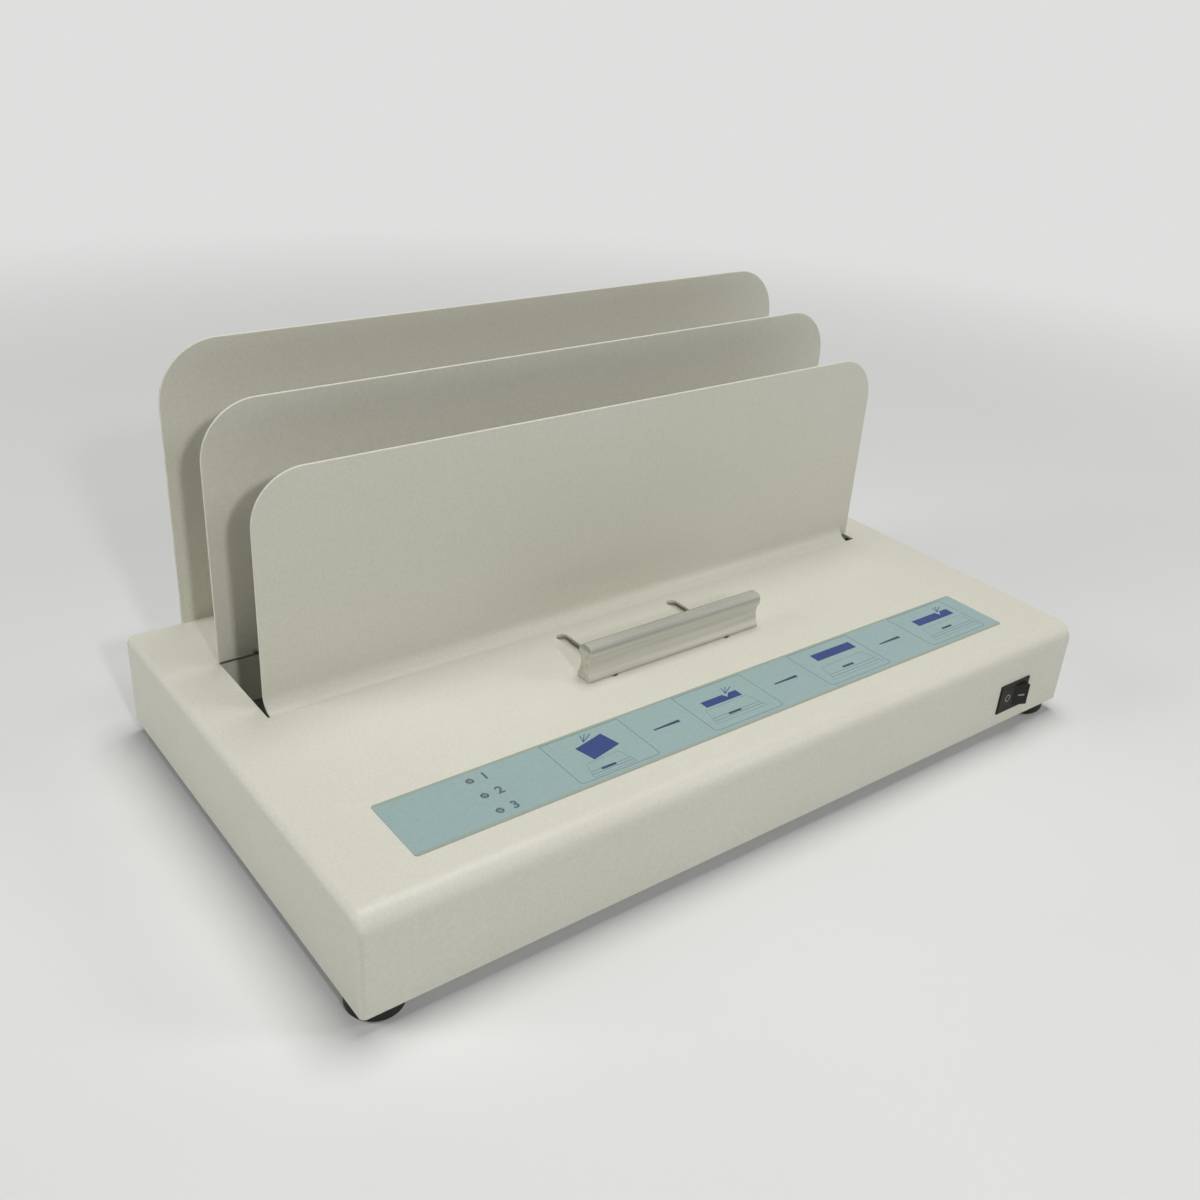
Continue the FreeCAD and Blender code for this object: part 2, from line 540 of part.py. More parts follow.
def front_plate():
    points = [
        (f"{OPENING_FRONT} - Dims.front_flange", UNDERSIDE),
        (FRONT_FACE, UNDERSIDE),
        (FRONT_FACE, f"{TOP} + Dims.front_plate_rise"),
        (FRONT_BACK, f"{TOP} + Dims.front_plate_rise"),
        (FRONT_BACK, f"{UNDERSIDE} - Dims.sheet_gauge"),
        (f"{OPENING_FRONT} - Dims.front_flange", f"{UNDERSIDE} - Dims.sheet_gauge"),
    ]
    body = profile("front_sheet", "YZ_Plane", points, PLATE_WIDTH,
                   (f"{MIDDLE} - {PLATE_WIDTH} / 2", "0", "0"))
    round_along(body, "x", [points[1]], "Dims.large_bend")
    round_along(body, "x", [points[4]], "Dims.large_bend + Dims.sheet_gauge")
    half = f"({FRONT_FACE} + {FRONT_BACK}) / 2"
    top = f"{TOP} + Dims.front_plate_rise"
    round_plate_corners(body, half, top, PLATE_WIDTH, "Dims.front_plate_corner")
    soften_plate(body, [FRONT_FACE, FRONT_BACK], f"{TOP} + Dims.large_bend")
    notches = []
    for index, across in enumerate(slot_places()):
        notches.append(slot_tool(f"flange_notch{index}", across, "Dims.notch_margin",
                                 f"{UNDERSIDE} - Dims.sheet_gauge - Dims.overcut",
                                 "Dims.sheet_gauge + 2 * Dims.overcut"))
    relief_left = f"{MIDDLE} + {PLATE_WIDTH} / 2 - Dims.foot_relief"
    foot_front = f"{OPENING_FRONT} - Dims.front_flange - Dims.overcut"
    foot_bottom = f"{UNDERSIDE} - Dims.sheet_gauge - Dims.overcut"
    notches.append(box("foot_relief_room", (relief_left, foot_front, foot_bottom),
                       ("Dims.foot_relief + Dims.overcut", f"{FRONT_FACE} - ({foot_front})",
                        f"{TOP} + Dims.large_bend - ({foot_bottom})")))
    strip = box("front_plate_end", (relief_left, FRONT_FACE, TOP),
                ("Dims.foot_relief", "Dims.sheet_gauge", "Dims.large_bend"))
    node("front_plate", fuse("front_plate_whole", cut("front_plate_cut", body, notches), strip))


def round_plate_corners(body, along, top, width, radius):
    """Round the two upper corners of a plate that stands in the body's own X-Z plane."""
    shape = body.Tip.Shape
    numbers = []
    for number in edges_at(shape, "y", [[0, size(top)], [size(width), size(top)]]):
        if abs(shape.Edges[number - 1].BoundBox.Center.y - size(along)) < 0.01:
            numbers.append(number)
    return soften(body, radius, numbers)


def soften_plate(body, faces, lowest):
    """Round the rim of an upright plate on both of its faces."""
    shape = body.Tip.Shape
    levels = [size(face) for face in faces]
    floor = size(lowest)
    numbers = []
    for number, edge in enumerate(shape.Edges, 1):
        bounds = edge.BoundBox
        flat = any(abs(bounds.YMin - level) + abs(bounds.YMax - level) < 0.02 for level in levels)
        if flat and bounds.ZMax > floor + 1:
            numbers.append(number)
    return soften(body, "Dims.edge_softening", numbers)


def plate_rack():
    """The middle plate, the cooling bay's floor and the rear plate, bent from one sheet.

    The floor and its bends stop short of the plates' ends, which run straight down."""
    middle_back = f"{MIDDLE_FACE} + Dims.sheet_gauge"
    rear_back = f"{REAR_FACE} + Dims.sheet_gauge"
    middle_top = f"{TOP} + Dims.middle_plate_rise"
    rear_top = f"{TOP} + Dims.rear_plate_rise"
    floor = f"{TOP} + Dims.sheet_gauge"
    points = [
        (MIDDLE_FACE, TOP), (rear_back, TOP), (rear_back, rear_top), (REAR_FACE, rear_top),
        (REAR_FACE, floor), (middle_back, floor), (middle_back, middle_top), (MIDDLE_FACE, middle_top),
    ]
    rack_left = f"({RACK_MIDDLE} - {RACK_WIDTH} / 2)"
    body = profile("rack_sheet", "YZ_Plane", points, RACK_WIDTH, (rack_left, "0", "0"))
    round_along(body, "x", [points[4]], "Dims.large_bend")
    round_along(body, "x", [points[1]], "Dims.large_bend + Dims.sheet_gauge")
    round_along(body, "x", [points[5]], "Dims.small_bend")
    round_along(body, "x", [points[0]], "Dims.small_bend + Dims.sheet_gauge")
    for face, back, top, radius in (
            (MIDDLE_FACE, middle_back, middle_top, "Dims.middle_plate_corner"),
            (REAR_FACE, rear_back, rear_top, "Dims.rear_plate_corner")):
        round_plate_corners(body, f"({face} + {back}) / 2", top, RACK_WIDTH, radius)
    soften_plate(body, [MIDDLE_FACE, middle_back, REAR_FACE, rear_back], f"{floor} + Dims.large_bend")
    straight = f"({floor} + Dims.large_bend)"
    reliefs, ends = [], []
    for index, start in enumerate((rack_left, f"({rack_left} + {RACK_WIDTH} - Dims.rack_relief)")):
        reliefs.append(box(f"rack_relief{index}",
                           (f"{start} - {1 - index} * Dims.overcut", f"{MIDDLE_FACE} - Dims.overcut",
                            f"{TOP} - Dims.overcut"),
                           ("Dims.rack_relief + Dims.overcut",
                            f"{rear_back} - {MIDDLE_FACE} + 2 * Dims.overcut",
                            f"{straight} - {TOP} + Dims.overcut")))
        for name, face, lift in (("middle", MIDDLE_FACE, "Dims.middle_plate_lift"),
                                 ("rear", REAR_FACE, "0")):
            ends.append(box(f"{name}_plate_end{index}", (start, face, f"{TOP} + {lift}"),
                            ("Dims.rack_relief", "Dims.sheet_gauge", f"{straight} - {TOP} - {lift}")))
    studs = [rod(f"rack_stud{index}", (across, along, f"{UNDERSIDE} - Dims.nut_height - Dims.thread_end"),
                 "Dims.screw_radius", "Dims.sheet_gauge + Dims.nut_height + Dims.thread_end")
             for index, (across, along) in enumerate(rack_stud_places())]
    node("plate_rack", fuse("rack_whole", cut("rack_cut", body, reliefs), *ends))
    node("rack_studs", group("rack_stud_set", studs))
    nuts = [nut(f"rack_nut{index}", (across, along, f"{UNDERSIDE} - Dims.nut_height"))
            for index, (across, along) in enumerate(rack_stud_places())]
    node("rack_nuts", group("rack_nut_set", nuts))


def nut(name, foot):
    """A hexagon nut round a screw of the housing's size."""
    hexagon = doc.addObject("Part::Prism", name + "_hexagon")
    hexagon.Polygon = 6
    hexagon.setExpression("Circumradius", "Dims.nut_radius")
    hexagon.setExpression("Height", "Dims.nut_height")
    place(hexagon, foot)
    hole = rod(name + "_hole", foot, "Dims.screw_radius + Dims.thread_gap", "Dims.nut_height")
    return cut(name, hexagon, [hole])


def screw(name, foot, length, pointing=1):
    """A pan-head screw: foot is the head's seat, the shank runs up (1) or down (-1)."""
    across, along, seat = foot
    reach = f"({seat})" if pointing > 0 else f"({seat}) - ({length})"
    head_foot = f"({seat}) - Dims.screw_head_height" if pointing > 0 else seat
    shank = rod(name + "_shank", (across, along, reach), "Dims.screw_radius", length)
    head = rod(name + "_head", (across, along, head_foot),
               "Dims.screw_head_radius", "Dims.screw_head_height")
    return fuse(name, shank, head)


def tab(index, across, along, turn):
    """A bent tab inside the housing: one leg on the wall, one on the base plate."""
    name = f"tab{index}"
    lying = box(name + "_foot", ("-Dims.tab_width / 2", "0", "0"),
                ("Dims.tab_width", "Dims.tab_reach", "Dims.tab_gauge"))
    upright = box(name + "_back", ("-Dims.tab_width / 2", "0", "0"),
                  ("Dims.tab_width", "Dims.tab_gauge", "Dims.tab_reach"))
    hole = rod(name + "_hole", ("0", "Dims.tab_hole", "-Dims.overcut"), "Dims.screw_radius + Dims.thread_gap",
               "Dims.tab_gauge + 2 * Dims.overcut")
    return place(cut(name, fuse(name + "_angle", lying, upright), [hole]),
                 (across, along, BASE_TOP), Rotation(Z, turn))


def tab_holes():
    """Where the base plate's screws go."""
    places = []
    for across, along, turn in TAB_PLACES:
        inward_x = -math.sin(math.radians(turn))
        inward_y = math.cos(math.radians(turn))
        places.append((f"{across} + {inward_x:.0f} * Dims.tab_hole",
                       f"{along} + {inward_y:.0f} * Dims.tab_hole"))
    return places


def foot_places():
    return [(f"{side} * (Dims.body_width / 2 - {inset})",
             f"{end} * (Dims.body_depth / 2 - Dims.foot_inset_front)")
            for side in (-1, 1)
            for end, inset in ((-1, "Dims.foot_inset_side"), (1, "Dims.rear_foot_inset_side"))]


TRAY_FRONT = f"({FRONT_FACE} - Dims.tray_front_room)"


def standoff_places():
    along = f"({TRAY_FRONT} + {MIDDLE_FACE}) / 2"
    reach = f"({PLATE_WIDTH} / 2 - Dims.standoff_inset)"
    return [(f"{MIDDLE} + {step} * {reach}", f"{along} + {side} * Dims.standoff_offset")
            for step in (-1, 0, 1) for side in (-1, 1)]


BOARD_LEFT = f"({LEFT} + Dims.board_from_left)"
BOARD_FRONT = f"({TRAY_FRONT} - Dims.board_to_tray - Dims.board_depth)"
BOARD_BOTTOM = f"({BASE_TOP} + Dims.board_level)"
BOARD_TOP = f"({BOARD_BOTTOM} + Dims.board_gauge)"


def board_stud_places():
    inset = "Dims.board_hole_inset"
    return [(f"{BOARD_LEFT} + {across}", f"{BOARD_FRONT} + {along}")
            for across in (inset, f"Dims.board_width - {inset}")
            for along in (inset, f"Dims.board_depth - {inset}")]


def base_plate():
    gap = "(Dims.sheet_gauge + Dims.part_gap)"
    sheet = box("base_sheet", (f"{LEFT} + {gap}", f"{FRONT} + {gap}", BOTTOM),
                (f"Dims.body_width - 2 * {gap}", f"Dims.body_depth - 2 * {gap}", "Dims.sheet_gauge"))
    doc.recompute()
    bounds = sheet.Shape.BoundBox
    corners = [[across, along] for across in (bounds.XMin, bounds.XMax)
               for along in (bounds.YMin, bounds.YMax)]
    rounded = rounded_box("base_rounded", sheet, [("z", corners, size("Dims.corner_radius"))])
    holes = []
    fasteners = tab_holes() + foot_places() + standoff_places() + board_stud_places()
    for index, (across, along) in enumerate(fasteners):
        holes.append(rod(f"base_hole{index}", (across, along, f"{BOTTOM} - Dims.overcut"),
                         "Dims.screw_radius + Dims.hole_clearance",
                         "Dims.sheet_gauge + 2 * Dims.overcut"))
    for index in range(-5, 6):
        holes.append(box(f"vent{index + 5}",
                         (f"{MIDDLE} + {index} * Dims.vent_spacing - Dims.vent_width / 2",
                          f"{FRONT} + Dims.vent_from_front", f"{BOTTOM} - Dims.overcut"),
                         ("Dims.vent_width", "Dims.vent_length",
                          "Dims.sheet_gauge + 2 * Dims.overcut")))
    node("base_plate", cut("base", rounded, holes))
    node("screw_tabs", group("tab_set", [tab(index, *where) for index, where in enumerate(TAB_PLACES)]))
    node("base_screws", group("base_screw_set", [
        screw(f"base_screw{index}", (across, along, BOTTOM),
              "Dims.sheet_gauge + Dims.tab_gauge + Dims.thread_end")
        for index, (across, along) in enumerate(tab_holes())]))


def feet():
    rubber, screws, nuts = [], [], []
    for index, (across, along) in enumerate(foot_places()):
        block = rod(f"foot_block{index}", (across, along, "0"), "Dims.foot_radius", "Dims.foot_height")
        doc.recompute()
        dome = doc.addObject("Part::Fillet", f"foot_dome{index}")
        dome.Base = block
        rims = [number for number, edge in enumerate(block.Shape.Edges, 1)
                if edge.Closed and edge.BoundBox.ZMax < 0.01]
        rounding = size("Dims.foot_rounding")
        dome.Edges = [(number, rounding, rounding) for number in rims]
        seat = "Dims.foot_seat"
        holes = [rod(f"foot_recess{index}", (across, along, "-Dims.overcut"),
                     "Dims.screw_head_radius + Dims.foot_recess_room", f"{seat} + Dims.overcut"),
                 rod(f"foot_hole{index}", (across, along, seat),
                     "Dims.screw_radius + Dims.hole_clearance", "Dims.foot_height")]
        rubber.append(cut(f"foot{index}", dome, [fuse(f"foot_bore{index}", *holes)]))
        nut_top = f"{BASE_TOP} + Dims.nut_height"
        screws.append(screw(f"foot_screw{index}", (across, along, seat),
                            f"{nut_top} + Dims.thread_end - {seat}"))
        nuts.append(nut(f"foot_nut{index}", (across, along, BASE_TOP)))
    node("rubber_feet", group("foot_set", rubber))
    node("foot_screws", group("foot_screw_set", screws))
    node("foot_nuts", group("foot_nut_set", nuts))


# ---- handle and clamp -------------------------------------------------------------------

def pull_handle():
    """An extruded pull with a rounded head, a hollowed waist and a straight base."""
    foot = f"({TOP} + Dims.glide_gap)"
    front = f"({SCREW_LINE} - Dims.handle_base / 2)"
    back = f"({front} + Dims.handle_base)"
    dip = "(Dims.handle_base - Dims.handle_waist) / 2"
    outline_side = [
        ("0", "0"), ("Dims.handle_base_rise", "0"), ("Dims.handle_waist_bottom", dip),
        ("Dims.handle_waist_top", dip), ("Dims.handle_head_bottom", "Dims.handle_head_inset"),
        ("Dims.handle_height", "Dims.handle_head_inset"),
    ]
    front_side = [(f"{front} + {inset}", f"{foot} + {rise}") for rise, inset in outline_side]
    back_side = [(f"{back} - {inset}", f"{foot} + {rise}") for rise, inset in outline_side]
    points = front_side + back_side[::-1]
    body = profile("handle_bar", "YZ_Plane", points,
                   "Dims.slot_spacing + Dims.handle_overhang_left + Dims.handle_overhang_right",
                   (f"{MIDDLE} - Dims.slot_spacing / 2 - Dims.handle_overhang_left", "0", "0"))
    waist = [front_side[2], front_side[3], back_side[2], back_side[3]]
    round_along(body, "x", waist, "Dims.handle_waist_blend")
    round_along(body, "x", [front_side[5]], "Dims.handle_front_radius")
    round_along(body, "x", [back_side[5]], "Dims.handle_back_radius")
    round_along(body, "x", [front_side[4], back_side[4]], "Dims.handle_lip_radius")
    round_along(body, "x", [front_side[0], back_side[0], front_side[1], back_side[1]],
                "Dims.edge_softening")
    holes = [rod(f"handle_hole{index}", (across, SCREW_LINE, f"{foot} - Dims.overcut"),
                 "Dims.handle_screw_radius + Dims.thread_gap",
                 "Dims.handle_screw_reach + 2 * Dims.overcut")
             for index, across in enumerate(slot_places())]
    node("pull_handle", cut("handle", body, holes))


SCREW_ROOM = "(Dims.handle_screw_radius + Dims.handle_screw_room)"


def clamp():
    carriage_rear = f"({JAW_REAR} - Dims.clamp_gauge - Dims.small_bend)"
    carriage_front = f"({SCREW_LINE} - Dims.carriage_front)"
    plate = box("carriage_sheet", (f"{MIDDLE} - Dims.carriage_width / 2", carriage_front, CARRIAGE_BOTTOM),
                ("Dims.carriage_width", f"{carriage_rear} - {carriage_front}", "Dims.clamp_gauge"))
    holes = [rod(f"carriage_hole{index}", (across, SCREW_LINE, f"{CARRIAGE_BOTTOM} - Dims.overcut"),
                 SCREW_ROOM, "Dims.clamp_gauge + 2 * Dims.overcut")
             for index, across in enumerate(slot_places())]
    rivet_line = f"({carriage_rear} - Dims.jaw_flange / 2)"
    rivet_places = [f"{MIDDLE} + {step} * Dims.rivet_spacing" for step in (-1.5, -0.5, 0.5, 1.5)]
    rivet_room = "Dims.rivet_radius + Dims.rivet_gap"
    rivet_holes = [rod(f"rivet_hole{index}", (across, rivet_line, f"{CARRIAGE_BOTTOM} - Dims.overcut"),
                       rivet_room, "Dims.clamp_gauge + 2 * Dims.overcut")
                   for index, across in enumerate(rivet_places)]
    node("carriage_plate", cut("carriage", plate, holes + rivet_holes))

    jaw_front = f"({carriage_rear} - Dims.jaw_flange)"
    lower = f"({PLATE_TOP} + Dims.jaw_clearance)"
    points = [
        (jaw_front, CARRIAGE_BOTTOM), (JAW_REAR, CARRIAGE_BOTTOM), (JAW_REAR, lower),
        (f"{JAW_REAR} - Dims.clamp_gauge", lower),
        (f"{JAW_REAR} - Dims.clamp_gauge", f"{CARRIAGE_BOTTOM} - Dims.clamp_gauge"),
        (jaw_front, f"{CARRIAGE_BOTTOM} - Dims.clamp_gauge"),
    ]
    body = profile("jaw_sheet", "YZ_Plane", points, JAW_WIDTH,
                   (f"{MIDDLE} - {JAW_WIDTH} / 2", "0", "0"))
    round_along(body, "x", [points[4]], "Dims.small_bend")
    round_along(body, "x", [points[1]], "Dims.small_bend + Dims.clamp_gauge")
    flange_bottom = f"{CARRIAGE_BOTTOM} - Dims.clamp_gauge"
    flange_holes = [rod(f"flange_hole{index}", (across, rivet_line, f"{flange_bottom} - Dims.overcut"),
                        rivet_room, "Dims.clamp_gauge + 2 * Dims.overcut")
                    for index, across in enumerate(rivet_places)]
    node("clamp_jaw", cut("jaw", body, flange_holes))

    rivets = []
    for index, across in enumerate(rivet_places):
        shank = rod(f"rivet_shank{index}", (across, rivet_line, flange_bottom),
                    "Dims.rivet_radius", "2 * Dims.clamp_gauge")
        head = rod(f"rivet_head{index}", (across, rivet_line, f"{flange_bottom} - Dims.rivet_head_height"),
                   "Dims.rivet_head_radius", "Dims.rivet_head_height")
        rivets.append(fuse(f"rivet{index}", shank, head))
    node("jaw_rivets", group("rivet_set", rivets))

    bushes, screws = [], []
    for index, across in enumerate(slot_places()):
        outer = rod(f"bush_outer{index}", (across, SCREW_LINE, CARRIAGE_TOP),
                    "Dims.slot_width / 2 - Dims.bush_clearance", f"{TOP} + Dims.glide_gap - {CARRIAGE_TOP}")
        inner = rod(f"bush_inner{index}", (across, SCREW_LINE, CARRIAGE_TOP),
                    SCREW_ROOM, f"{TOP} + Dims.glide_gap - {CARRIAGE_TOP}")
        bushes.append(cut(f"bush{index}", outer, [inner]))
        shank = rod(f"clamp_shank{index}", (across, SCREW_LINE, CARRIAGE_BOTTOM),
                    "Dims.handle_screw_radius",
                    f"{TOP} + Dims.glide_gap + Dims.handle_screw_reach - {CARRIAGE_BOTTOM}")
        head = rod(f"clamp_head{index}", (across, SCREW_LINE, f"{CARRIAGE_BOTTOM} - Dims.screw_head_height"),
                   "Dims.screw_head_radius", "Dims.screw_head_height")
        screws.append(fuse(f"clamp_screw{index}", shank, head))
    node("slot_bushes", group("bush_set", bushes))
    node("handle_screws", group("clamp_screw_set", screws))

    rails = []
    for side in (-1, 1):
        edge = f"({MIDDLE} + {side} * (Dims.carriage_width / 2 + Dims.part_gap))"
        web = f"({edge} + {side} * Dims.sheet_gauge)"
        lip = f"({edge} - {side} * Dims.rail_lip)"
        outer = f"({web} + {side} * Dims.rail_flange)"
        lip_top = f"({CARRIAGE_BOTTOM} - Dims.part_gap)"
        points = [
            (edge, UNDERSIDE), (outer, UNDERSIDE), (outer, f"{UNDERSIDE} - Dims.sheet_gauge"),
            (web, f"{UNDERSIDE} - Dims.sheet_gauge"), (web, f"{lip_top} - Dims.sheet_gauge"),
            (lip, f"{lip_top} - Dims.sheet_gauge"), (lip, lip_top), (edge, lip_top),
        ]
        rails.append(profile(f"rail_sheet{side + 1}", "XZ_Plane", points, "Dims.rail_length",
                             ("0", f"{carriage_front} + Dims.rail_set_back", "0")))
    node("guide_rails", group("rail_set", rails))


# ---- trough and heater ------------------------------------------------------------------

TRAY_LEFT = f"({OPENING_LEFT} - Dims.tray_left_room)"
LUG_X = f"({TRAY_LEFT} + Dims.lug_offset)"


def heater():
    left = TRAY_LEFT
    right = f"({OPENING_RIGHT} + Dims.sheet_gauge)"
    rear = f"({MIDDLE_FACE} + Dims.sheet_gauge)"
    rim = f"({UNDERSIDE} - Dims.part_gap)"
    wall = "Dims.sheet_gauge"
    outside = box("tray_outside", (left, TRAY_FRONT, TRAY_BOTTOM),
                  (f"{right} - {left}", f"{rear} - {TRAY_FRONT}", f"{rim} - {TRAY_BOTTOM}"))
    inside = box("tray_inside", (f"{left} + {wall}", f"{TRAY_FRONT} + {wall}", TRAY_INSIDE),
                 (f"{right} - {left} - 2 * {wall}", f"{rear} - {TRAY_FRONT} - 2 * {wall}",
                  "Dims.body_height"))
    low_front = box("tray_low_front",
                    (f"{left} - Dims.overcut", f"{TRAY_FRONT} - Dims.overcut",
                     f"{TRAY_BOTTOM} + Dims.tray_front_wall"),
                    (f"{right} - {left} + 2 * Dims.overcut", f"{wall} + Dims.overcut", "Dims.body_height"))
    studs = [rod(f"tray_hole{index}", (across, along, f"{TRAY_BOTTOM} - Dims.overcut"),
                 "Dims.screw_radius + Dims.thread_gap", "Dims.sheet_gauge + 2 * Dims.overcut")
             for index, (across, along) in enumerate(standoff_places())]
    lip = box("tray_rear_wall_top", (f"{OPENING_LEFT} + Dims.part_gap", MIDDLE_FACE, rim),
              (f"{OPENING_RIGHT} - {OPENING_LEFT} - 2 * Dims.part_gap", wall,
               f"{TOP} + Dims.tray_rear_lip - {rim}"))
    hollow = fuse("tray_walls", cut("tray_hollow", outside, [fuse("tray_room", inside, low_front)]), lip)
    node("heater_tray", cut("tray", hollow, studs))

    def layer(label, name, level, gauge, front_gap):
        """A flat layer in the tray, a small gap from its walls."""
        slab = box(name, (f"{left} + {wall} + {front_gap}", f"{TRAY_FRONT} + {wall} + {front_gap}", level),
                   (f"{right} - {left} - 2 * ({wall} + {front_gap})",
                    f"{rear} - {TRAY_FRONT} - 2 * ({wall} + {front_gap})", gauge))
        return label, slab

    label, board = layer("insulation_board", "insulation", TRAY_INSIDE, "Dims.insulation_gauge",
                         "Dims.part_gap")
    head_room = [rod(f"insulation_hole{index}", (across, along, f"{TRAY_INSIDE} - Dims.overcut"),
                     "Dims.screw_radius + Dims.screw_end_room",
                     "Dims.insulation_gauge + 2 * Dims.overcut")
                 for index, (across, along) in enumerate(standoff_places())]
    node(label, cut("insulation_cut", board, head_room))
    label, strip = layer("heater_element", "heater_strip", HEATER_BOTTOM, "Dims.heater_gauge",
                         "Dims.heater_margin")
    node(label, strip)
    label, plate = layer("heating_plate", "hot_plate", PLATE_BOTTOM, "Dims.heating_plate_gauge",
                         "Dims.part_gap")
    doc.recompute()
    bounds = plate.Shape.BoundBox
    rims = [[along, bounds.ZMax] for along in (bounds.YMin, bounds.YMax)]
    node(label, rounded_box("hot_plate_rounded", plate, [("x", rims, size("Dims.hot_plate_rounding"))]))

    spacers, screws = [], []
    spacer_height = f"({TRAY_BOTTOM} - {BASE_TOP})"
    for index, (across, along) in enumerate(standoff_places()):
        outer = rod(f"spacer_outer{index}", (across, along, BASE_TOP), "Dims.standoff_radius", spacer_height)
        inner = rod(f"spacer_inner{index}", (across, along, BASE_TOP), 
                    "Dims.screw_radius + Dims.thread_gap", spacer_height)
        spacers.append(cut(f"spacer{index}", outer, [inner]))
        screws.append(screw(f"tray_screw{index}", (across, along, BOTTOM),
                            f"{TRAY_INSIDE} - {BOTTOM} + Dims.thread_end"))
    node("tray_spacers", group("spacer_set", spacers))
    node("tray_screws", group("tray_screw_set", screws))

    middle = f"({TRAY_FRONT} + Dims.thermostat_back)"
    shoulder = f"({PLATE_TOP} + Dims.thermostat_flange_height)"
    crown = f"({shoulder} + Dims.thermostat_cap_height)"
    disc = rod("thermostat_disc", (LUG_X, middle, PLATE_TOP),
               "Dims.thermostat_flange_radius", "Dims.thermostat_flange_height")
    cap = rod("thermostat_cap", (LUG_X, middle, shoulder),
              "Dims.thermostat_cap_radius", "Dims.thermostat_cap_height")
    blades = [box(f"thermostat_blade{index}",
                  (f"{LUG_X} + {side} * Dims.thermostat_blade_spacing / 2 - Dims.blade_gauge / 2",
                   f"{middle} - Dims.thermostat_blade_width / 2", f"{crown} - Dims.overcut"),
                  ("Dims.blade_gauge", "Dims.thermostat_blade_width",
                   "Dims.thermostat_blade_height + Dims.overcut"))
              for index, side in enumerate((-1, 1))]
    node("thermostat", fuse("thermostat_body", disc, cap, *blades))

    fuse_line = f"({TRAY_FRONT} + Dims.fuse_back)"
    fuse_level = f"({PLATE_TOP} + Dims.fuse_radius)"
    barrel = rod("fuse_barrel", (f"{LUG_X} - Dims.fuse_length / 2", fuse_line, fuse_level),
                 "Dims.fuse_radius", "Dims.fuse_length", "x")
    wires = rod("fuse_wires", (f"{LUG_X} - Dims.fuse_wire_length / 2", fuse_line, fuse_level),
                "Dims.fuse_wire_radius", "Dims.fuse_wire_length", "x")
    clip = box("fuse_clip", (f"{LUG_X} - Dims.fuse_foot_width / 2",
                             f"{fuse_line} - Dims.fuse_foot_depth / 2", PLATE_TOP),
               ("Dims.fuse_foot_width", "Dims.fuse_foot_depth", "Dims.fuse_foot_height"))
    node("thermal_fuse", fuse("thermal_fuse_body", barrel, wires, clip))


# ---- switch and mains inlet --------------------------------------------------------------

PIVOT_Y = f"({FRONT} - Dims.switch_bezel + Dims.pivot_depth)"


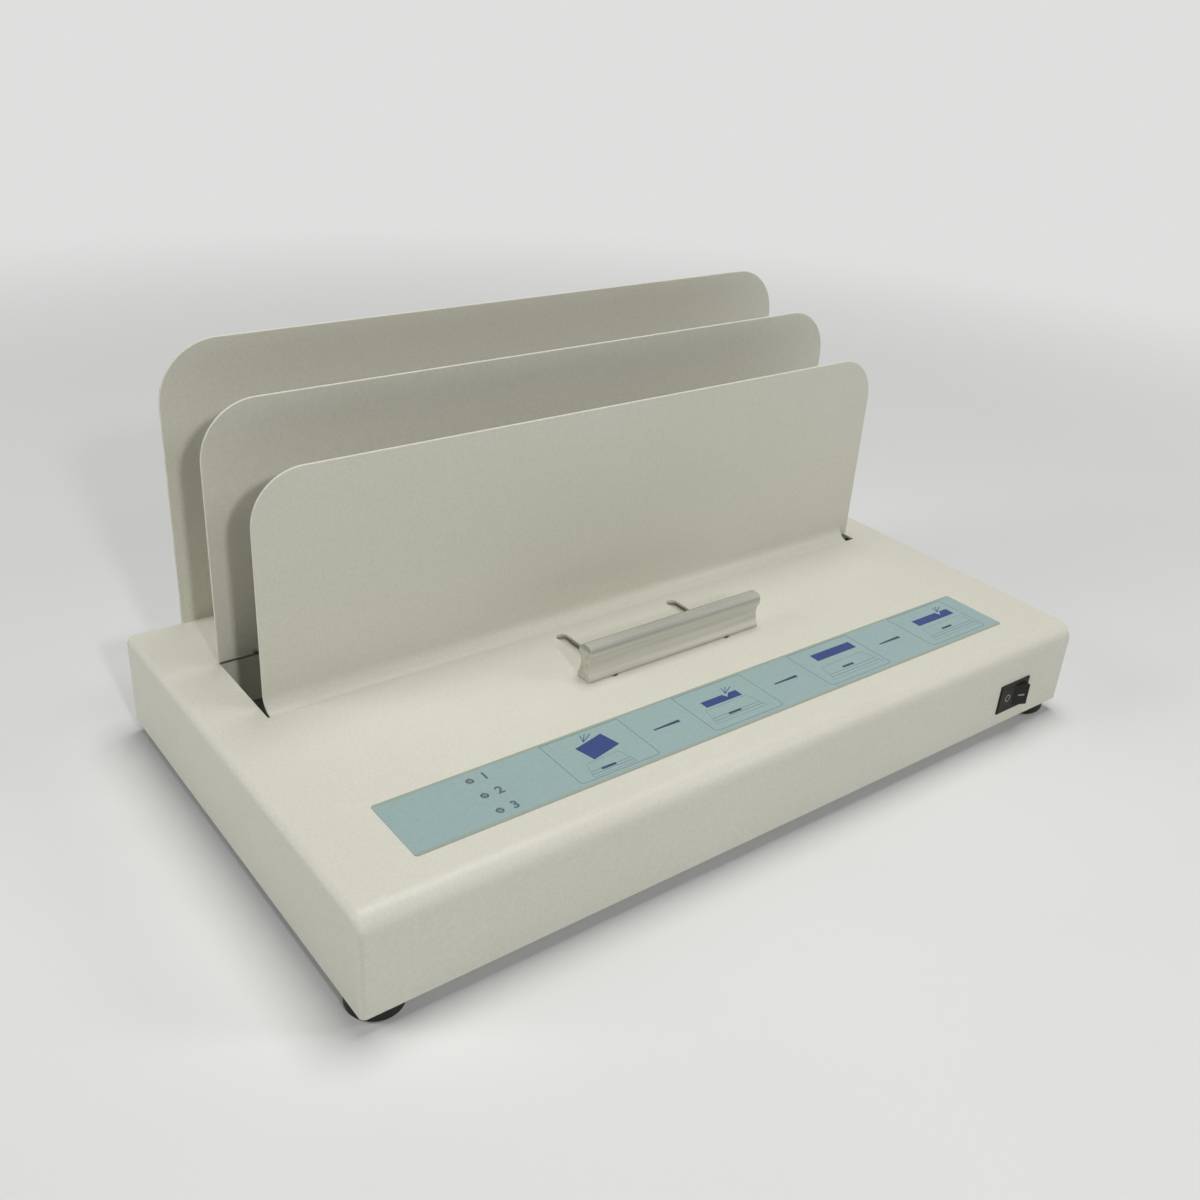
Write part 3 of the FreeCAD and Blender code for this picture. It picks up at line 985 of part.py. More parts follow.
def power_switch():
    """A snap-in rocker switch: its rocker leans about an upright pin."""
    bezel = box("bezel", (f"{SWITCH_X} - Dims.switch_width / 2", f"{FRONT} - Dims.switch_bezel",
                          f"{SWITCH_Z} - Dims.switch_height / 2"),
                ("Dims.switch_width", "Dims.switch_bezel", "Dims.switch_height"))
    doc.recompute()
    bounds = bezel.Shape.BoundBox
    rounding = size("Dims.switch_rounding")
    rims = [("x", [[bounds.YMin, level] for level in (bounds.ZMin, bounds.ZMax)], rounding),
            ("z", [[across, bounds.YMin] for across in (bounds.XMin, bounds.XMax)], rounding)]
    bezel = rounded_box("bezel_round", bezel, rims)
    case = box("switch_case", (f"{SWITCH_X} - Dims.switch_body_width / 2", FRONT,
                               f"{SWITCH_Z} - Dims.switch_body_height / 2"),
               ("Dims.switch_body_width", "Dims.switch_depth", "Dims.switch_body_height"))
    well = box("switch_well", (f"{SWITCH_X} - Dims.switch_width / 2 + Dims.switch_wall",
                               f"{FRONT} - Dims.switch_bezel - Dims.overcut",
                               f"{SWITCH_Z} - Dims.switch_height / 2 + Dims.switch_wall"),
               ("Dims.switch_width - 2 * Dims.switch_wall",
                "Dims.switch_bezel + Dims.overcut + Dims.rocker_depth + Dims.well_room",
                "Dims.switch_height - 2 * Dims.switch_wall"))
    pin_reach = "(Dims.switch_height / 2 - Dims.switch_wall + Dims.pivot_reach)"
    bore = rod("pin_bore", (SWITCH_X, PIVOT_Y, f"{SWITCH_Z} - {pin_reach} - Dims.pivot_gap"),
               "Dims.pivot_radius + Dims.pivot_gap", f"2 * ({pin_reach} + Dims.pivot_gap)")
    blades = [box(f"switch_blade{index}",
                  (f"{SWITCH_X} + {side} * Dims.switch_blade_spacing / 2 - Dims.blade_gauge / 2",
                   f"{FRONT} + Dims.switch_depth - Dims.overcut", f"{SWITCH_Z} - Dims.blade_width / 2"),
                  ("Dims.blade_gauge", "Dims.blade_reach + Dims.overcut", "Dims.blade_width"))
              for index, side in enumerate((-1, 1))]
    hollow = cut("switch_hollow", fuse("switch_solid", bezel, case), [fuse("switch_room", well, bore)])
    node("switch_body", fuse("switch_housing", hollow, *blades))

    half = "(Dims.switch_width / 2 - Dims.switch_wall - Dims.rocker_side_gap)"
    rise = f"({half} * tan(Dims.rocker_tilt * 1deg))"
    points = [
        (f"-{half}", f"-Dims.pivot_depth - {rise}"), ("0", "-Dims.pivot_depth"),
        (half, f"-Dims.pivot_depth - {rise}"),
        (half, "Dims.rocker_depth / 2"), (f"{half} / 2", "Dims.rocker_depth"),
        (f"-{half} / 2", "Dims.rocker_depth"), (f"-{half}", "Dims.rocker_depth / 2"),
    ]
    height = "(Dims.switch_height - 2 * Dims.switch_wall - 2 * Dims.rocker_edge_gap)"
    key = profile("rocker_key", "XY_Plane", points, height, ("0", "0", f"-{height} / 2"))
    pins = rod("rocker_pins", ("0", "0", f"-{pin_reach}"), "Dims.pivot_radius", f"2 * {pin_reach}")
    rocker = fuse("rocker", key, pins)
    rocker.Placement = Placement(Vector(), Rotation(Z, -size("Dims.rocker_tilt")))
    for axis, text in zip("xyz", (SWITCH_X, PIVOT_Y, SWITCH_Z)):
        rocker.setExpression(f"Placement.Base.{axis}", text)
    node("switch_rocker", rocker)


def mains_inlet():
    """A snap-in appliance inlet in the rear wall, with a six-sided socket and three pins."""
    rim = "Dims.inlet_flange"
    flange = box("inlet_rim", (f"{INLET_X} - Dims.inlet_width / 2 - {rim}", REAR,
                               f"{INLET_Z} - Dims.inlet_height / 2 - {rim}"),
                 (f"Dims.inlet_width + 2 * {rim}", rim, f"Dims.inlet_height + 2 * {rim}"))
    case = box("inlet_case", (f"{INLET_X} - Dims.inlet_width / 2", f"{REAR} - Dims.inlet_depth",
                              f"{INLET_Z} - Dims.inlet_height / 2"),
               ("Dims.inlet_width", "Dims.inlet_depth", "Dims.inlet_height"))
    half_w = "(Dims.inlet_width / 2 - Dims.inlet_side_wall)"
    half_h = "(Dims.inlet_height / 2 - Dims.inlet_edge_wall)"
    points = [
        (f"{INLET_X} - {half_w}", f"{INLET_Z} - {half_h}"),
        (f"{INLET_X} + {half_w}", f"{INLET_Z} - {half_h}"),
        (f"{INLET_X} + {half_w}", f"{INLET_Z} + {half_h} - Dims.inlet_bevel"),
        (f"{INLET_X} + {half_w} - Dims.inlet_bevel", f"{INLET_Z} + {half_h}"),
        (f"{INLET_X} - {half_w} + Dims.inlet_bevel", f"{INLET_Z} + {half_h}"),
        (f"{INLET_X} - {half_w}", f"{INLET_Z} + {half_h} - Dims.inlet_bevel"),
    ]
    floor = f"({REAR} - Dims.inlet_depth + Dims.inlet_floor)"
    room = "(Dims.inlet_depth - Dims.inlet_floor + Dims.inlet_flange)"
    socket = profile("inlet_socket", "XZ_Plane", points, f"{room} + Dims.overcut", ("0", floor, "0"))
    node("power_inlet", cut("inlet", fuse("inlet_solid", flange, case), [socket]))
    pins = [box(f"inlet_pin{index}",
                (f"{INLET_X} + {step} * Dims.pin_spacing - Dims.pin_gauge / 2", floor,
                 f"{INLET_Z} + {side} * Dims.pin_offset - Dims.pin_height / 2"),
                ("Dims.pin_gauge", f"{room} - Dims.pin_set_back", "Dims.pin_height"))
            for index, (step, side) in enumerate(((-1, -1), (0, 1), (1, -1)))]
    node("inlet_pins", group("inlet_pin_set", pins))
    blades = [box(f"inlet_blade{index}",
                  (f"{INLET_X} + {step} * Dims.pin_spacing - Dims.blade_width / 2",
                   f"{REAR} - Dims.inlet_depth - Dims.blade_reach", f"{INLET_Z} - Dims.blade_gauge / 2"),
                  ("Dims.blade_width", "Dims.blade_reach", "Dims.blade_gauge"))
              for index, step in enumerate((-1, 0, 1))]
    node("inlet_terminals", group("inlet_blade_set", blades))


# ---- label, lamps and boards --------------------------------------------------------------

def label_strip():
    film = box("film", (f"-{LABEL_WIDTH} / 2", f"{FRONT} + Dims.label_front", TOP),
               (LABEL_WIDTH, "Dims.label_depth", "Dims.label_gauge"))
    doc.recompute()
    bounds = film.Shape.BoundBox
    corners = [[across, along] for across in (bounds.XMin, bounds.XMax)
               for along in (bounds.YMin, bounds.YMax)]
    rounded = rounded_box("film_rounded", film, [("z", corners, size("Dims.label_corner"))])
    holes = [rod(f"film_hole{index}", (across, along, f"{TOP} - Dims.overcut"),
                 "Dims.lamp_radius + Dims.hole_clearance", "Dims.label_gauge + 2 * Dims.overcut")
             for index, (across, along) in enumerate(lamp_places())]
    node("label_strip", cut("film_cut", rounded, holes))


PANEL_TOP = f"({UNDERSIDE} - Dims.panel_board_drop)"
PANEL_BOTTOM = f"({PANEL_TOP} - Dims.board_gauge)"


def lamp_panel():
    across_middle, along_middle = lamp_places()[1]
    corner_x = f"({across_middle} - Dims.panel_board_width / 2)"
    corner_y = f"({along_middle} - Dims.panel_board_depth / 2)"
    lamps = []
    for index, (across, along) in enumerate(lamp_places()):
        tip = f"({TOP} + Dims.label_gauge + Dims.lamp_proud - Dims.lamp_radius)"
        lens = rod(f"lens{index}", (across, along, f"{PANEL_TOP} + Dims.lamp_lift"), "Dims.lamp_radius",
                   f"{tip} - {PANEL_TOP} - Dims.lamp_lift")
        dome = doc.addObject("Part::Sphere", f"dome{index}")
        dome.setExpression("Radius", "Dims.lamp_radius")
        place(dome, (across, along, tip))
        collar = rod(f"collar{index}", (across, along, f"{PANEL_TOP} + Dims.lamp_lift"),
                     "Dims.lamp_radius + Dims.lamp_collar", "Dims.lamp_collar_height")
        legs = [box(f"leg{index}_{side + 1}",
                    (f"{across} + {side} * Dims.leg_spacing / 2 - Dims.leg_width / 2",
                     f"{along} - Dims.leg_width / 2", PANEL_TOP),
                    ("Dims.leg_width", "Dims.leg_width", "Dims.lamp_lift + Dims.lamp_collar_height"))
                for side in (-1, 1)]
        lamps.append(fuse(f"lamp{index}", lens, dome, collar, *legs))
    node("indicator_lamps", group("lamp_set", lamps))

    studs, holes, nuts = [], [], []
    for index, (side_x, side_y) in enumerate(((-1, -1), (-1, 1), (1, -1), (1, 1))):
        across = f"{across_middle} + {side_x} * (Dims.panel_board_width / 2 - Dims.panel_hole_inset)"
        along = f"{along_middle} + {side_y} * (Dims.panel_board_depth / 2 - Dims.panel_hole_inset)"
        shoulder = rod(f"panel_shoulder{index}", (across, along, PANEL_TOP),
                       "Dims.shoulder_radius", "Dims.panel_board_drop")
        thread = rod(f"panel_thread{index}",
                     (across, along, f"{PANEL_BOTTOM} - Dims.nut_height - Dims.thread_end"),
                     "Dims.screw_radius",
                     "Dims.board_gauge + Dims.nut_height + Dims.thread_end + Dims.overcut")
        studs.append(fuse(f"panel_stud{index}", shoulder, thread))
        holes.append(rod(f"panel_hole{index}", (across, along, f"{PANEL_BOTTOM} - Dims.overcut"),
                         "Dims.screw_radius + Dims.hole_clearance",
                         "Dims.board_gauge + 2 * Dims.overcut"))
        nuts.append(nut(f"panel_nut{index}", (across, along, f"{PANEL_BOTTOM} - Dims.nut_height")))
    board = box("panel_sheet", (corner_x, corner_y, PANEL_BOTTOM),
                ("Dims.panel_board_width", "Dims.panel_board_depth", "Dims.board_gauge"))
    node("lamp_board", cut("panel_cut", board, holes))
    node("lamp_board_studs", group("panel_stud_set", studs))
    node("lamp_board_nuts", group("panel_nut_set", nuts))


def control_board():
    sheet = box("board_sheet", (BOARD_LEFT, BOARD_FRONT, BOARD_BOTTOM),
                ("Dims.board_width", "Dims.board_depth", "Dims.board_gauge"))
    holes, spacers, screws = [], [], []
    for index, (across, along) in enumerate(board_stud_places()):
        holes.append(rod(f"board_hole{index}", (across, along, f"{BOARD_BOTTOM} - Dims.overcut"),
                         "Dims.screw_radius + Dims.hole_clearance",
                         "Dims.board_gauge + 2 * Dims.overcut"))
        outer = rod(f"board_spacer_outer{index}", (across, along, BASE_TOP), "Dims.standoff_radius",
                    "Dims.board_level")
        inner = rod(f"board_spacer_inner{index}", (across, along, BASE_TOP),
                    "Dims.screw_radius + Dims.thread_gap", "Dims.board_level")
        spacers.append(cut(f"board_spacer{index}", outer, [inner]))
        screws.append(screw(f"board_screw{index}", (across, along, BOARD_TOP),
                            f"{BOARD_TOP} - {BOTTOM}", -1))
    node("control_board", cut("board_cut", sheet, holes))
    node("board_spacers", group("board_spacer_set", spacers))
    node("board_screws", group("board_screw_set", screws))

    def on_board(name):
        return f"{BOARD_LEFT} + Dims.{name}_right", f"{BOARD_FRONT} + Dims.{name}_back", BOARD_TOP

    def block(label, name, depth="depth"):
        """A plain component with its own place and size on the board."""
        lengths = [f"Dims.{name}_{side}" for side in ("width", depth, "height")]
        node(label, box(name + "_case", on_board(name), lengths))

    def can(name):
        return rod(name + "_body", on_board(name), f"Dims.{name}_radius", f"Dims.{name}_height")

    core = box("core", on_board("transformer"),
               ("Dims.transformer_width", "Dims.transformer_depth", "Dims.transformer_height"))
    core_left, core_front, level = on_board("transformer")
    winding = box("winding",
                  (f"{core_left} + Dims.winding_overlap", f"{core_front} - Dims.winding_overlap", level),
                  ("Dims.transformer_width - 2 * Dims.winding_overlap",
                   "Dims.transformer_depth + 2 * Dims.winding_overlap", "Dims.winding_height"))
    node("transformer", fuse("transformer_body", core, winding))
    block("relay", "relay")
    node("buzzer", can("buzzer"))
    node("capacitors", group("capacitor_set", [can("large_can"), can("small_can")]))
    block("controller_chip", "chip", "length")
    block("terminal_block", "terminal")
    block("lamp_connector", "connector")


# ---- leads ---------------------------------------------------------------------------------

def lead(label, route):
    """A round lead: straight runs joined by tangent arcs."""
    points = [Vector(*(size(text) for text in point)) for point in route]
    bend = size("Dims.lead_bend")
    edges = []
    start = points[0]
    for before, corner, after in zip(points, points[1:], points[2:]):
        into = (corner - before).normalize()
        out = (after - corner).normalize()
        half_turn = into.getAngle(out) / 2
        room = 0.45 * min((corner - before).Length, (after - corner).Length)
        radius = min(bend, room / math.tan(half_turn))
        setback = radius * math.tan(half_turn)
        first, last = corner - into * setback, corner + out * setback
        inward = (out - into).normalize()
        crown = corner + inward * (radius / math.cos(half_turn) - radius)
        edges.append(Part.LineSegment(start, first).toShape())
        edges.append(Part.Arc(first, crown, last).toShape())
        start = last
    edges.append(Part.LineSegment(start, points[-1]).toShape())
    radius = size("Dims.lead_radius")
    section = Part.Wire(Part.Circle(points[0], points[1] - points[0], radius).toShape())
    tube = doc.addObject("Part::Feature", label)
    tube.Shape = Part.Wire(edges).makePipeShell([section], True, False)
    length = sum(edge.Length for edge in edges)
    print(label, "length", round(length, 1), "volume ratio",
          round(tube.Shape.Volume / (math.pi * radius ** 2 * length), 4))
    return tube


def leads():
    gap = "Dims.lead_end_gap"
    beside = f"({RIGHT} - Dims.sheet_gauge - Dims.lead_bend)"
    behind_inlet = f"({REAR} - Dims.inlet_depth - Dims.blade_reach - {gap})"
    rear_run = f"({behind_inlet} - Dims.lead_bend - Dims.lead_margin)"
    switch_back = f"({FRONT} + Dims.switch_depth + Dims.blade_reach + {gap})"
    front_run = f"({switch_back} + 2 * Dims.lead_bend)"
    low = f"({BASE_TOP} + Dims.lead_radius + Dims.lead_lift)"
    block_left = f"({BOARD_LEFT} + Dims.terminal_right)"
    block_right = f"({block_left} + Dims.terminal_width)"
    block_rear = f"({BOARD_FRONT} + Dims.terminal_back + Dims.terminal_depth)"
    block_middle = f"({block_rear} - Dims.terminal_depth / 2)"
    block_level = f"({BOARD_TOP} + Dims.block_wire_level)"
    tray_run = f"({TRAY_FRONT} - Dims.lead_radius - Dims.lead_tray_room)"
    inlet_right = f"{INLET_X} + Dims.pin_spacing"
    inlet_left = f"{INLET_X} - Dims.pin_spacing"
    blade_right = f"{SWITCH_X} + Dims.switch_blade_spacing / 2"
    blade_left = f"{SWITCH_X} - Dims.switch_blade_spacing / 2"
    neutral_in = f"{block_left} + Dims.block_wire_inset"
    board_side = f"{BOARD_LEFT} + Dims.board_width + Dims.lead_board_room"
    node("mains_lead", lead("mains_lead_tube", [
        (inlet_right, behind_inlet, INLET_Z),
        (inlet_right, rear_run, INLET_Z),
        (beside, rear_run, INLET_Z),
        (beside, front_run, SWITCH_Z),
        (blade_right, f"({front_run} + {switch_back}) / 2", SWITCH_Z),
        (blade_right, switch_back, SWITCH_Z),
    ]))
    node("neutral_lead", lead("neutral_lead_tube", [
        (inlet_left, behind_inlet, INLET_Z),
        (inlet_left, rear_run, INLET_Z),
        (inlet_left, rear_run, low),
        (inlet_left, tray_run, low),
        (neutral_in, tray_run, low),
        (neutral_in, tray_run, block_level),
        (neutral_in, f"{block_rear} + {gap}", block_level),
    ]))
    node("live_lead", lead("live_lead_tube", [
        (blade_left, switch_back, SWITCH_Z),
        (blade_left, front_run, SWITCH_Z),
        (blade_left, front_run, low),
        (board_side, front_run, low),
        (board_side, block_middle, low),
        (board_side, block_middle, block_level),
        (f"{block_right} + {gap}", block_middle, block_level),
    ]))
    blade_x = f"({LUG_X} + Dims.thermostat_blade_spacing / 2)"
    blade_level = (f"({PLATE_TOP} + Dims.thermostat_flange_height + Dims.thermostat_cap_height"
                   " + Dims.thermostat_blade_height - Dims.heater_wire_drop)")
    blade_front = f"{TRAY_FRONT} + Dims.thermostat_back - Dims.thermostat_blade_width / 2"
    node("heater_lead", lead("heater_lead_tube", [
        (f"{block_left} - {gap}", block_middle, block_level),
        (blade_x, block_middle, block_level),
        (blade_x, block_middle, blade_level),
        (blade_x, f"{blade_front} - {gap}", blade_level),
    ]))
    connector_x = f"({BOARD_LEFT} + Dims.connector_right + Dims.connector_width / 2)"
    connector_y = f"({BOARD_FRONT} + Dims.connector_back + Dims.connector_depth / 2)"
    panel_rear = f"({lamp_places()[1][1]} + Dims.panel_board_depth / 2 - Dims.lamp_wire_inset)"
    lead_level = f"({PANEL_BOTTOM} - Dims.lamp_wire_drop)"
    node("lamp_lead", lead("lamp_lead_tube", [
        (connector_x, panel_rear, f"{PANEL_BOTTOM} - {gap}"),
        (connector_x, panel_rear, lead_level),
        (connector_x, connector_y, lead_level),
        (connector_x, connector_y, f"{BOARD_TOP} + Dims.connector_height + {gap}"),
    ]))


def build():
    top_cover()
    front_plate()
    plate_rack()
    base_plate()
    feet()
    pull_handle()
    clamp()
    heater()
    power_switch()
    mains_inlet()
    label_strip()
    lamp_panel()
    control_board()
    leads()
    doc.recompute()


def export():
    """Check every object, then write one STEP file for each sub-part."""
    for thing in doc.Objects:
        if "Invalid" in thing.State or "Error" in thing.State:
            raise RuntimeError(f"{thing.Label} failed to build")
    os.makedirs("parts", exist_ok=True)
    for thing in parts:
        if thing.Shape.isNull() or not thing.Shape.isValid():
            raise RuntimeError(f"{thing.Label} has no valid shape")
        thing.Shape.exportStep(os.path.join("parts", thing.Label + ".step"))
        bounds = thing.Shape.BoundBox
        print(f"{thing.Label:18s} solids {len(thing.Shape.Solids)} volume {thing.Shape.Volume:10.1f}",
              [round(value, 1) for value in (bounds.XMin, bounds.XMax, bounds.YMin, bounds.YMax,
                                             bounds.ZMin, bounds.ZMax)])


build()
export()
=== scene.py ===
import json
from math import copysign, cos, radians, sin, tan

import bmesh
import bpy
from bpy.props import FloatProperty, FloatVectorProperty, PointerProperty
from bpy.types import Operator, Panel, PropertyGroup
from mathutils import Matrix, Vector


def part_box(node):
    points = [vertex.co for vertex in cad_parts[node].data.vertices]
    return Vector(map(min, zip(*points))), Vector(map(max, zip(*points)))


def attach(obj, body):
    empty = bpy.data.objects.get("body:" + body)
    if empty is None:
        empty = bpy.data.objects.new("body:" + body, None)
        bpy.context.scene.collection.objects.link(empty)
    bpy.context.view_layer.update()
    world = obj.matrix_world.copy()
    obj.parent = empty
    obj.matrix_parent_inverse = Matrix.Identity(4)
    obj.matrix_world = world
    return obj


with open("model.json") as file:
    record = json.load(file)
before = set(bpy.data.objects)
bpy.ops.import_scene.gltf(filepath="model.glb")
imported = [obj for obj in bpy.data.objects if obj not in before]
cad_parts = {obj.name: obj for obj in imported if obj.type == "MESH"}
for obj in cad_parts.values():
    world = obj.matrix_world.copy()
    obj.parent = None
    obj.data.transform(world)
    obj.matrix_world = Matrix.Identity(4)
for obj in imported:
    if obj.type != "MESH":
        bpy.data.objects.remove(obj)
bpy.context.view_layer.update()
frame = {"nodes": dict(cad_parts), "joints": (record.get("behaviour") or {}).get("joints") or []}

bl_info = {
    "name": "Desk Binding Machine Finish",
    "version": (1, 0, 0),
    "blender": (4, 5, 0),
    "location": "3D View > Sidebar > Binder",
    "description": "Paints a desk binding machine's parts, prints its label and sets its studio",
    "category": "Object",
}

LABEL_LOW, LABEL_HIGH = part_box("label_strip")
LAMPS_LOW, LAMPS_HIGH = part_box("indicator_lamps")
LABEL_MIDDLE = (LABEL_LOW.y + LABEL_HIGH.y) / 2
TRAY_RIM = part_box("heater_tray")[1].z
HANDLE_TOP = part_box("pull_handle")[1].z
MM = 0.001


# ---- sizes and colours that a user would change ---------------------------------------------

def length(text, value, words):
    """A length property shown in the panel."""
    return FloatProperty(name=text, description=words, default=value, min=0.0,
                         soft_max=0.5, precision=5, subtype="DISTANCE", unit="LENGTH")


def colour(text, value, words):
    """A colour property shown in the panel."""
    return FloatVectorProperty(name=text, description=words, default=value, size=3,
                               min=0.0, max=1.0, subtype="COLOR")


def lamp_power(text, value, words):
    """A lamp's power shown in the panel."""
    return FloatProperty(name=text, description=words, default=value, min=0.0, unit="POWER")


class BinderLabel(PropertyGroup):
    """Sizes of the printing on the label strip."""
    first_panel: FloatProperty(
        name="First panel", description="Where the first panel's middle is, along the machine",
        default=-0.0682, precision=5, subtype="DISTANCE", unit="LENGTH")
    panel_pitch: length("Panel pitch", 0.0665, "From one panel's middle to the next")
    panel_width: length("Panel width", 0.0380, "Width of one panel of the printed steps")
    panel_depth: length("Panel depth", 0.0284, "Depth of one panel, front to back")
    panel_corner: length("Panel corner", 0.0020, "Rounding of a panel's front corners")
    frame_line: length("Frame line", 0.00030, "Width of a panel's printed outline")
    sketch_line: length("Sketch line", 0.00028, "Width of the lines of the small machine")
    ink_height: length("Ink height", 0.00003, "How far the screen print stands off the film")
    dash_length: length("Dash length", 0.0134, "Length of the dash between two panels")
    dash_width: length("Dash width", 0.0017, "Width of the dash at its thicker end")
    number_size: length("Number size", 0.0058, "Size of the lamps' numbers")
    number_weight: length("Number weight", 0.00020, "How far the numbers' strokes are fattened")
    ring_radius: length("Ring radius", 0.00170, "Outer radius of the printed ring round a lamp")
    lamp_ring: length("Lamp ring", 0.00018, "Width of the printed ring round a lamp")
    border: length("Border", 0.0015, "Width of the bands along the label's long edges")


class BinderColours(PropertyGroup):
    """Colours of the finishes and inks."""
    paint: colour("Paint", (0.690, 0.682, 0.590), "Powder coat of the steel housing and plates")
    paint_shade: colour("Paint shade", (0.650, 0.640, 0.540), "The paint's darker mottling")
    film: colour("Film", (0.312, 0.432, 0.424), "Ground colour of the label")
    film_band: colour("Film band", (0.315, 0.375, 0.315), "Bands along the label's edges")
    ink_blue: colour("Blue ink", (0.007, 0.031, 0.148), "Ink of the printed books")
    ink_dark: colour("Dark ink", (0.013, 0.031, 0.076), "Ink of the dashes and bars")
    ink_line: colour("Line ink", (0.120, 0.180, 0.205), "Ink of the thin outlines")
    ink_grey: colour("Grey ink", (0.070, 0.105, 0.135), "Ink of the lamps' numbers")
    ink_ring: colour("Ring ink", (0.200, 0.275, 0.290), "Ink of the lamps' rings")
    mark: colour("Switch marks", (0.25, 0.245, 0.215), "Moulded-in marks of the rocker")


class BinderStage(PropertyGroup):
    """The floor, lights and camera."""
    floor: colour("Floor", (0.80, 0.80, 0.79), "Colour of the floor")
    floor_radius: FloatProperty(name="Floor radius", description="Radius of the round floor",
                                default=7.0, min=1.0, subtype="DISTANCE", unit="LENGTH")
    backdrop: colour("Backdrop", (0.74, 0.74, 0.735), "What shows behind and far from the machine")
    fill: FloatProperty(name="Fill", description="Strength of the even light from all round",
                        default=0.02, min=0.0)
    key_power: lamp_power("Key power", 12.5, "Power of the soft light above")
    key_size: FloatProperty(name="Key size", description="Width of the soft light above",
                            default=0.85, min=0.01, subtype="DISTANCE", unit="LENGTH")
    front_power: lamp_power("Front power", 4.5, "Power of the light in front")
    back_power: lamp_power("Back power", 5.2, "Power of the light at the rear left")
    right_power: lamp_power("Right power", 4.0, "Power of the light at the right")
    lens: FloatProperty(name="Lens", description="Focal length of the camera",
                        default=37.722, min=1.0, unit="CAMERA")


# ---- node groups: effects that several finishes share ------------------------------------------

VECTOR, NUMBER, COLOUR = "NodeSocketVector", "NodeSocketFloat", "NodeSocketColor"


def new_group(name, inputs, outputs):
    """Starts a node group with its sockets; gives it with the nodes at its two ends."""
    group = bpy.data.node_groups.new(name, "ShaderNodeTree")
    for label, kind, *default in inputs:
        socket = group.interface.new_socket(name=label, in_out="INPUT", socket_type=kind)
        if default:
            socket.default_value = default[0]
    for label, kind in outputs:
        group.interface.new_socket(name=label, in_out="OUTPUT", socket_type=kind)
    return group, group.nodes.new("NodeGroupInput"), group.nodes.new("NodeGroupOutput")


def add_node(tree, kind, **settings):
    """Adds a node to a tree and sets its properties."""
    made = tree.nodes.new(kind)
    for name, value in settings.items():
        setattr(made, name, value)
    return made


def add_span(tree, low, high):
    """Adds a Map Range node that spreads low to high over 0 to 1."""
    made = tree.nodes.new("ShaderNodeMapRange")
    made.inputs["From Min"].default_value = low
    made.inputs["From Max"].default_value = high
    return made


def wire(tree, *wires):
    """Joins outputs to inputs; each wire is a node and its output, a node and its input."""
    for source, output, target, entry in wires:
        tree.links.new(source.outputs[output], target.inputs[entry])


def grain_group():
    """Grain: uneven colour, roughness and height from one stretched noise."""
    group = bpy.data.node_groups.get("Grain")
    if group:
        return group
    group, given, made = new_group(
        "Grain",
        (("Vector", VECTOR), ("Stretch", VECTOR, (1.0, 1.0, 1.0)), ("Scale", NUMBER, 100.0),
         ("Detail", NUMBER, 2.0), ("Light", COLOUR, (1, 1, 1, 1)), ("Dark", COLOUR, (0, 0, 0, 1)),
         ("Smooth", NUMBER, 0.3), ("Rough", NUMBER, 0.6)),
        (("Color", COLOUR), ("Roughness", NUMBER), ("Height", NUMBER)))
    stretch = add_node(group, "ShaderNodeVectorMath", operation="MULTIPLY")
    noise = add_node(group, "ShaderNodeTexNoise")
    spread = add_span(group, low=0.3, high=0.7)      # most of a noise's values lie here
    tint = add_node(group, "ShaderNodeMix", data_type="RGBA")
    rough = add_node(group, "ShaderNodeMapRange")
    wire(group,
         (given, "Vector", stretch, 0), (given, "Stretch", stretch, 1),
         (stretch, "Vector", noise, "Vector"), (given, "Scale", noise, "Scale"),
         (given, "Detail", noise, "Detail"), (noise, "Fac", spread, "Value"),
         (spread, "Result", tint, "Factor"), (given, "Light", tint, "A"),
         (given, "Dark", tint, "B"), (spread, "Result", rough, "Value"),
         (given, "Smooth", rough, "To Min"), (given, "Rough", rough, "To Max"),
         (tint, "Result", made, "Color"), (rough, "Result", made, "Roughness"),
         (spread, "Result", made, "Height"))
    return group


def wear_and_highlight_group():
    """Edge wearing and highlight: a broken mask along a piece's edges and corners, for rubbed edges
    and for painted edge highlights.
    """
    group = bpy.data.node_groups.get("Edge wearing and highlight")
    if group:
        return group
    group, given, made = new_group(
        "Edge wearing and highlight",
        (("Vector", VECTOR), ("Radius", NUMBER, 0.4 * MM), ("Breaks", NUMBER, 400.0),
         ("Amount", NUMBER, 1.0), ("Bare", NUMBER, 0.40)),
        (("Mask", NUMBER),))
    rounded = add_node(group, "ShaderNodeBevel")
    face = add_node(group, "ShaderNodeNewGeometry")
    likeness = add_node(group, "ShaderNodeVectorMath", operation="DOT_PRODUCT")
    edge = add_span(group, low=0.995, high=0.80)     # cosines: 1 is a flat face
    noise = add_node(group, "ShaderNodeTexNoise")
    breaks = add_span(group, low=0.0, high=0.62)     # its lower end is the input Bare
    both = add_node(group, "ShaderNodeMath", operation="MULTIPLY")
    amount = add_node(group, "ShaderNodeMath", operation="MULTIPLY")
    wire(group,
         (given, "Radius", rounded, "Radius"), (rounded, "Normal", likeness, 0),
         (face, "Normal", likeness, 1), (likeness, "Value", edge, "Value"),
         (given, "Vector", noise, "Vector"), (given, "Breaks", noise, "Scale"),
         (noise, "Fac", breaks, "Value"), (given, "Bare", breaks, "From Min"),
         (edge, "Result", both, 0), (breaks, "Result", both, 1),
         (both, "Value", amount, 0), (given, "Amount", amount, 1),
         (amount, "Value", made, "Mask"))
    return group


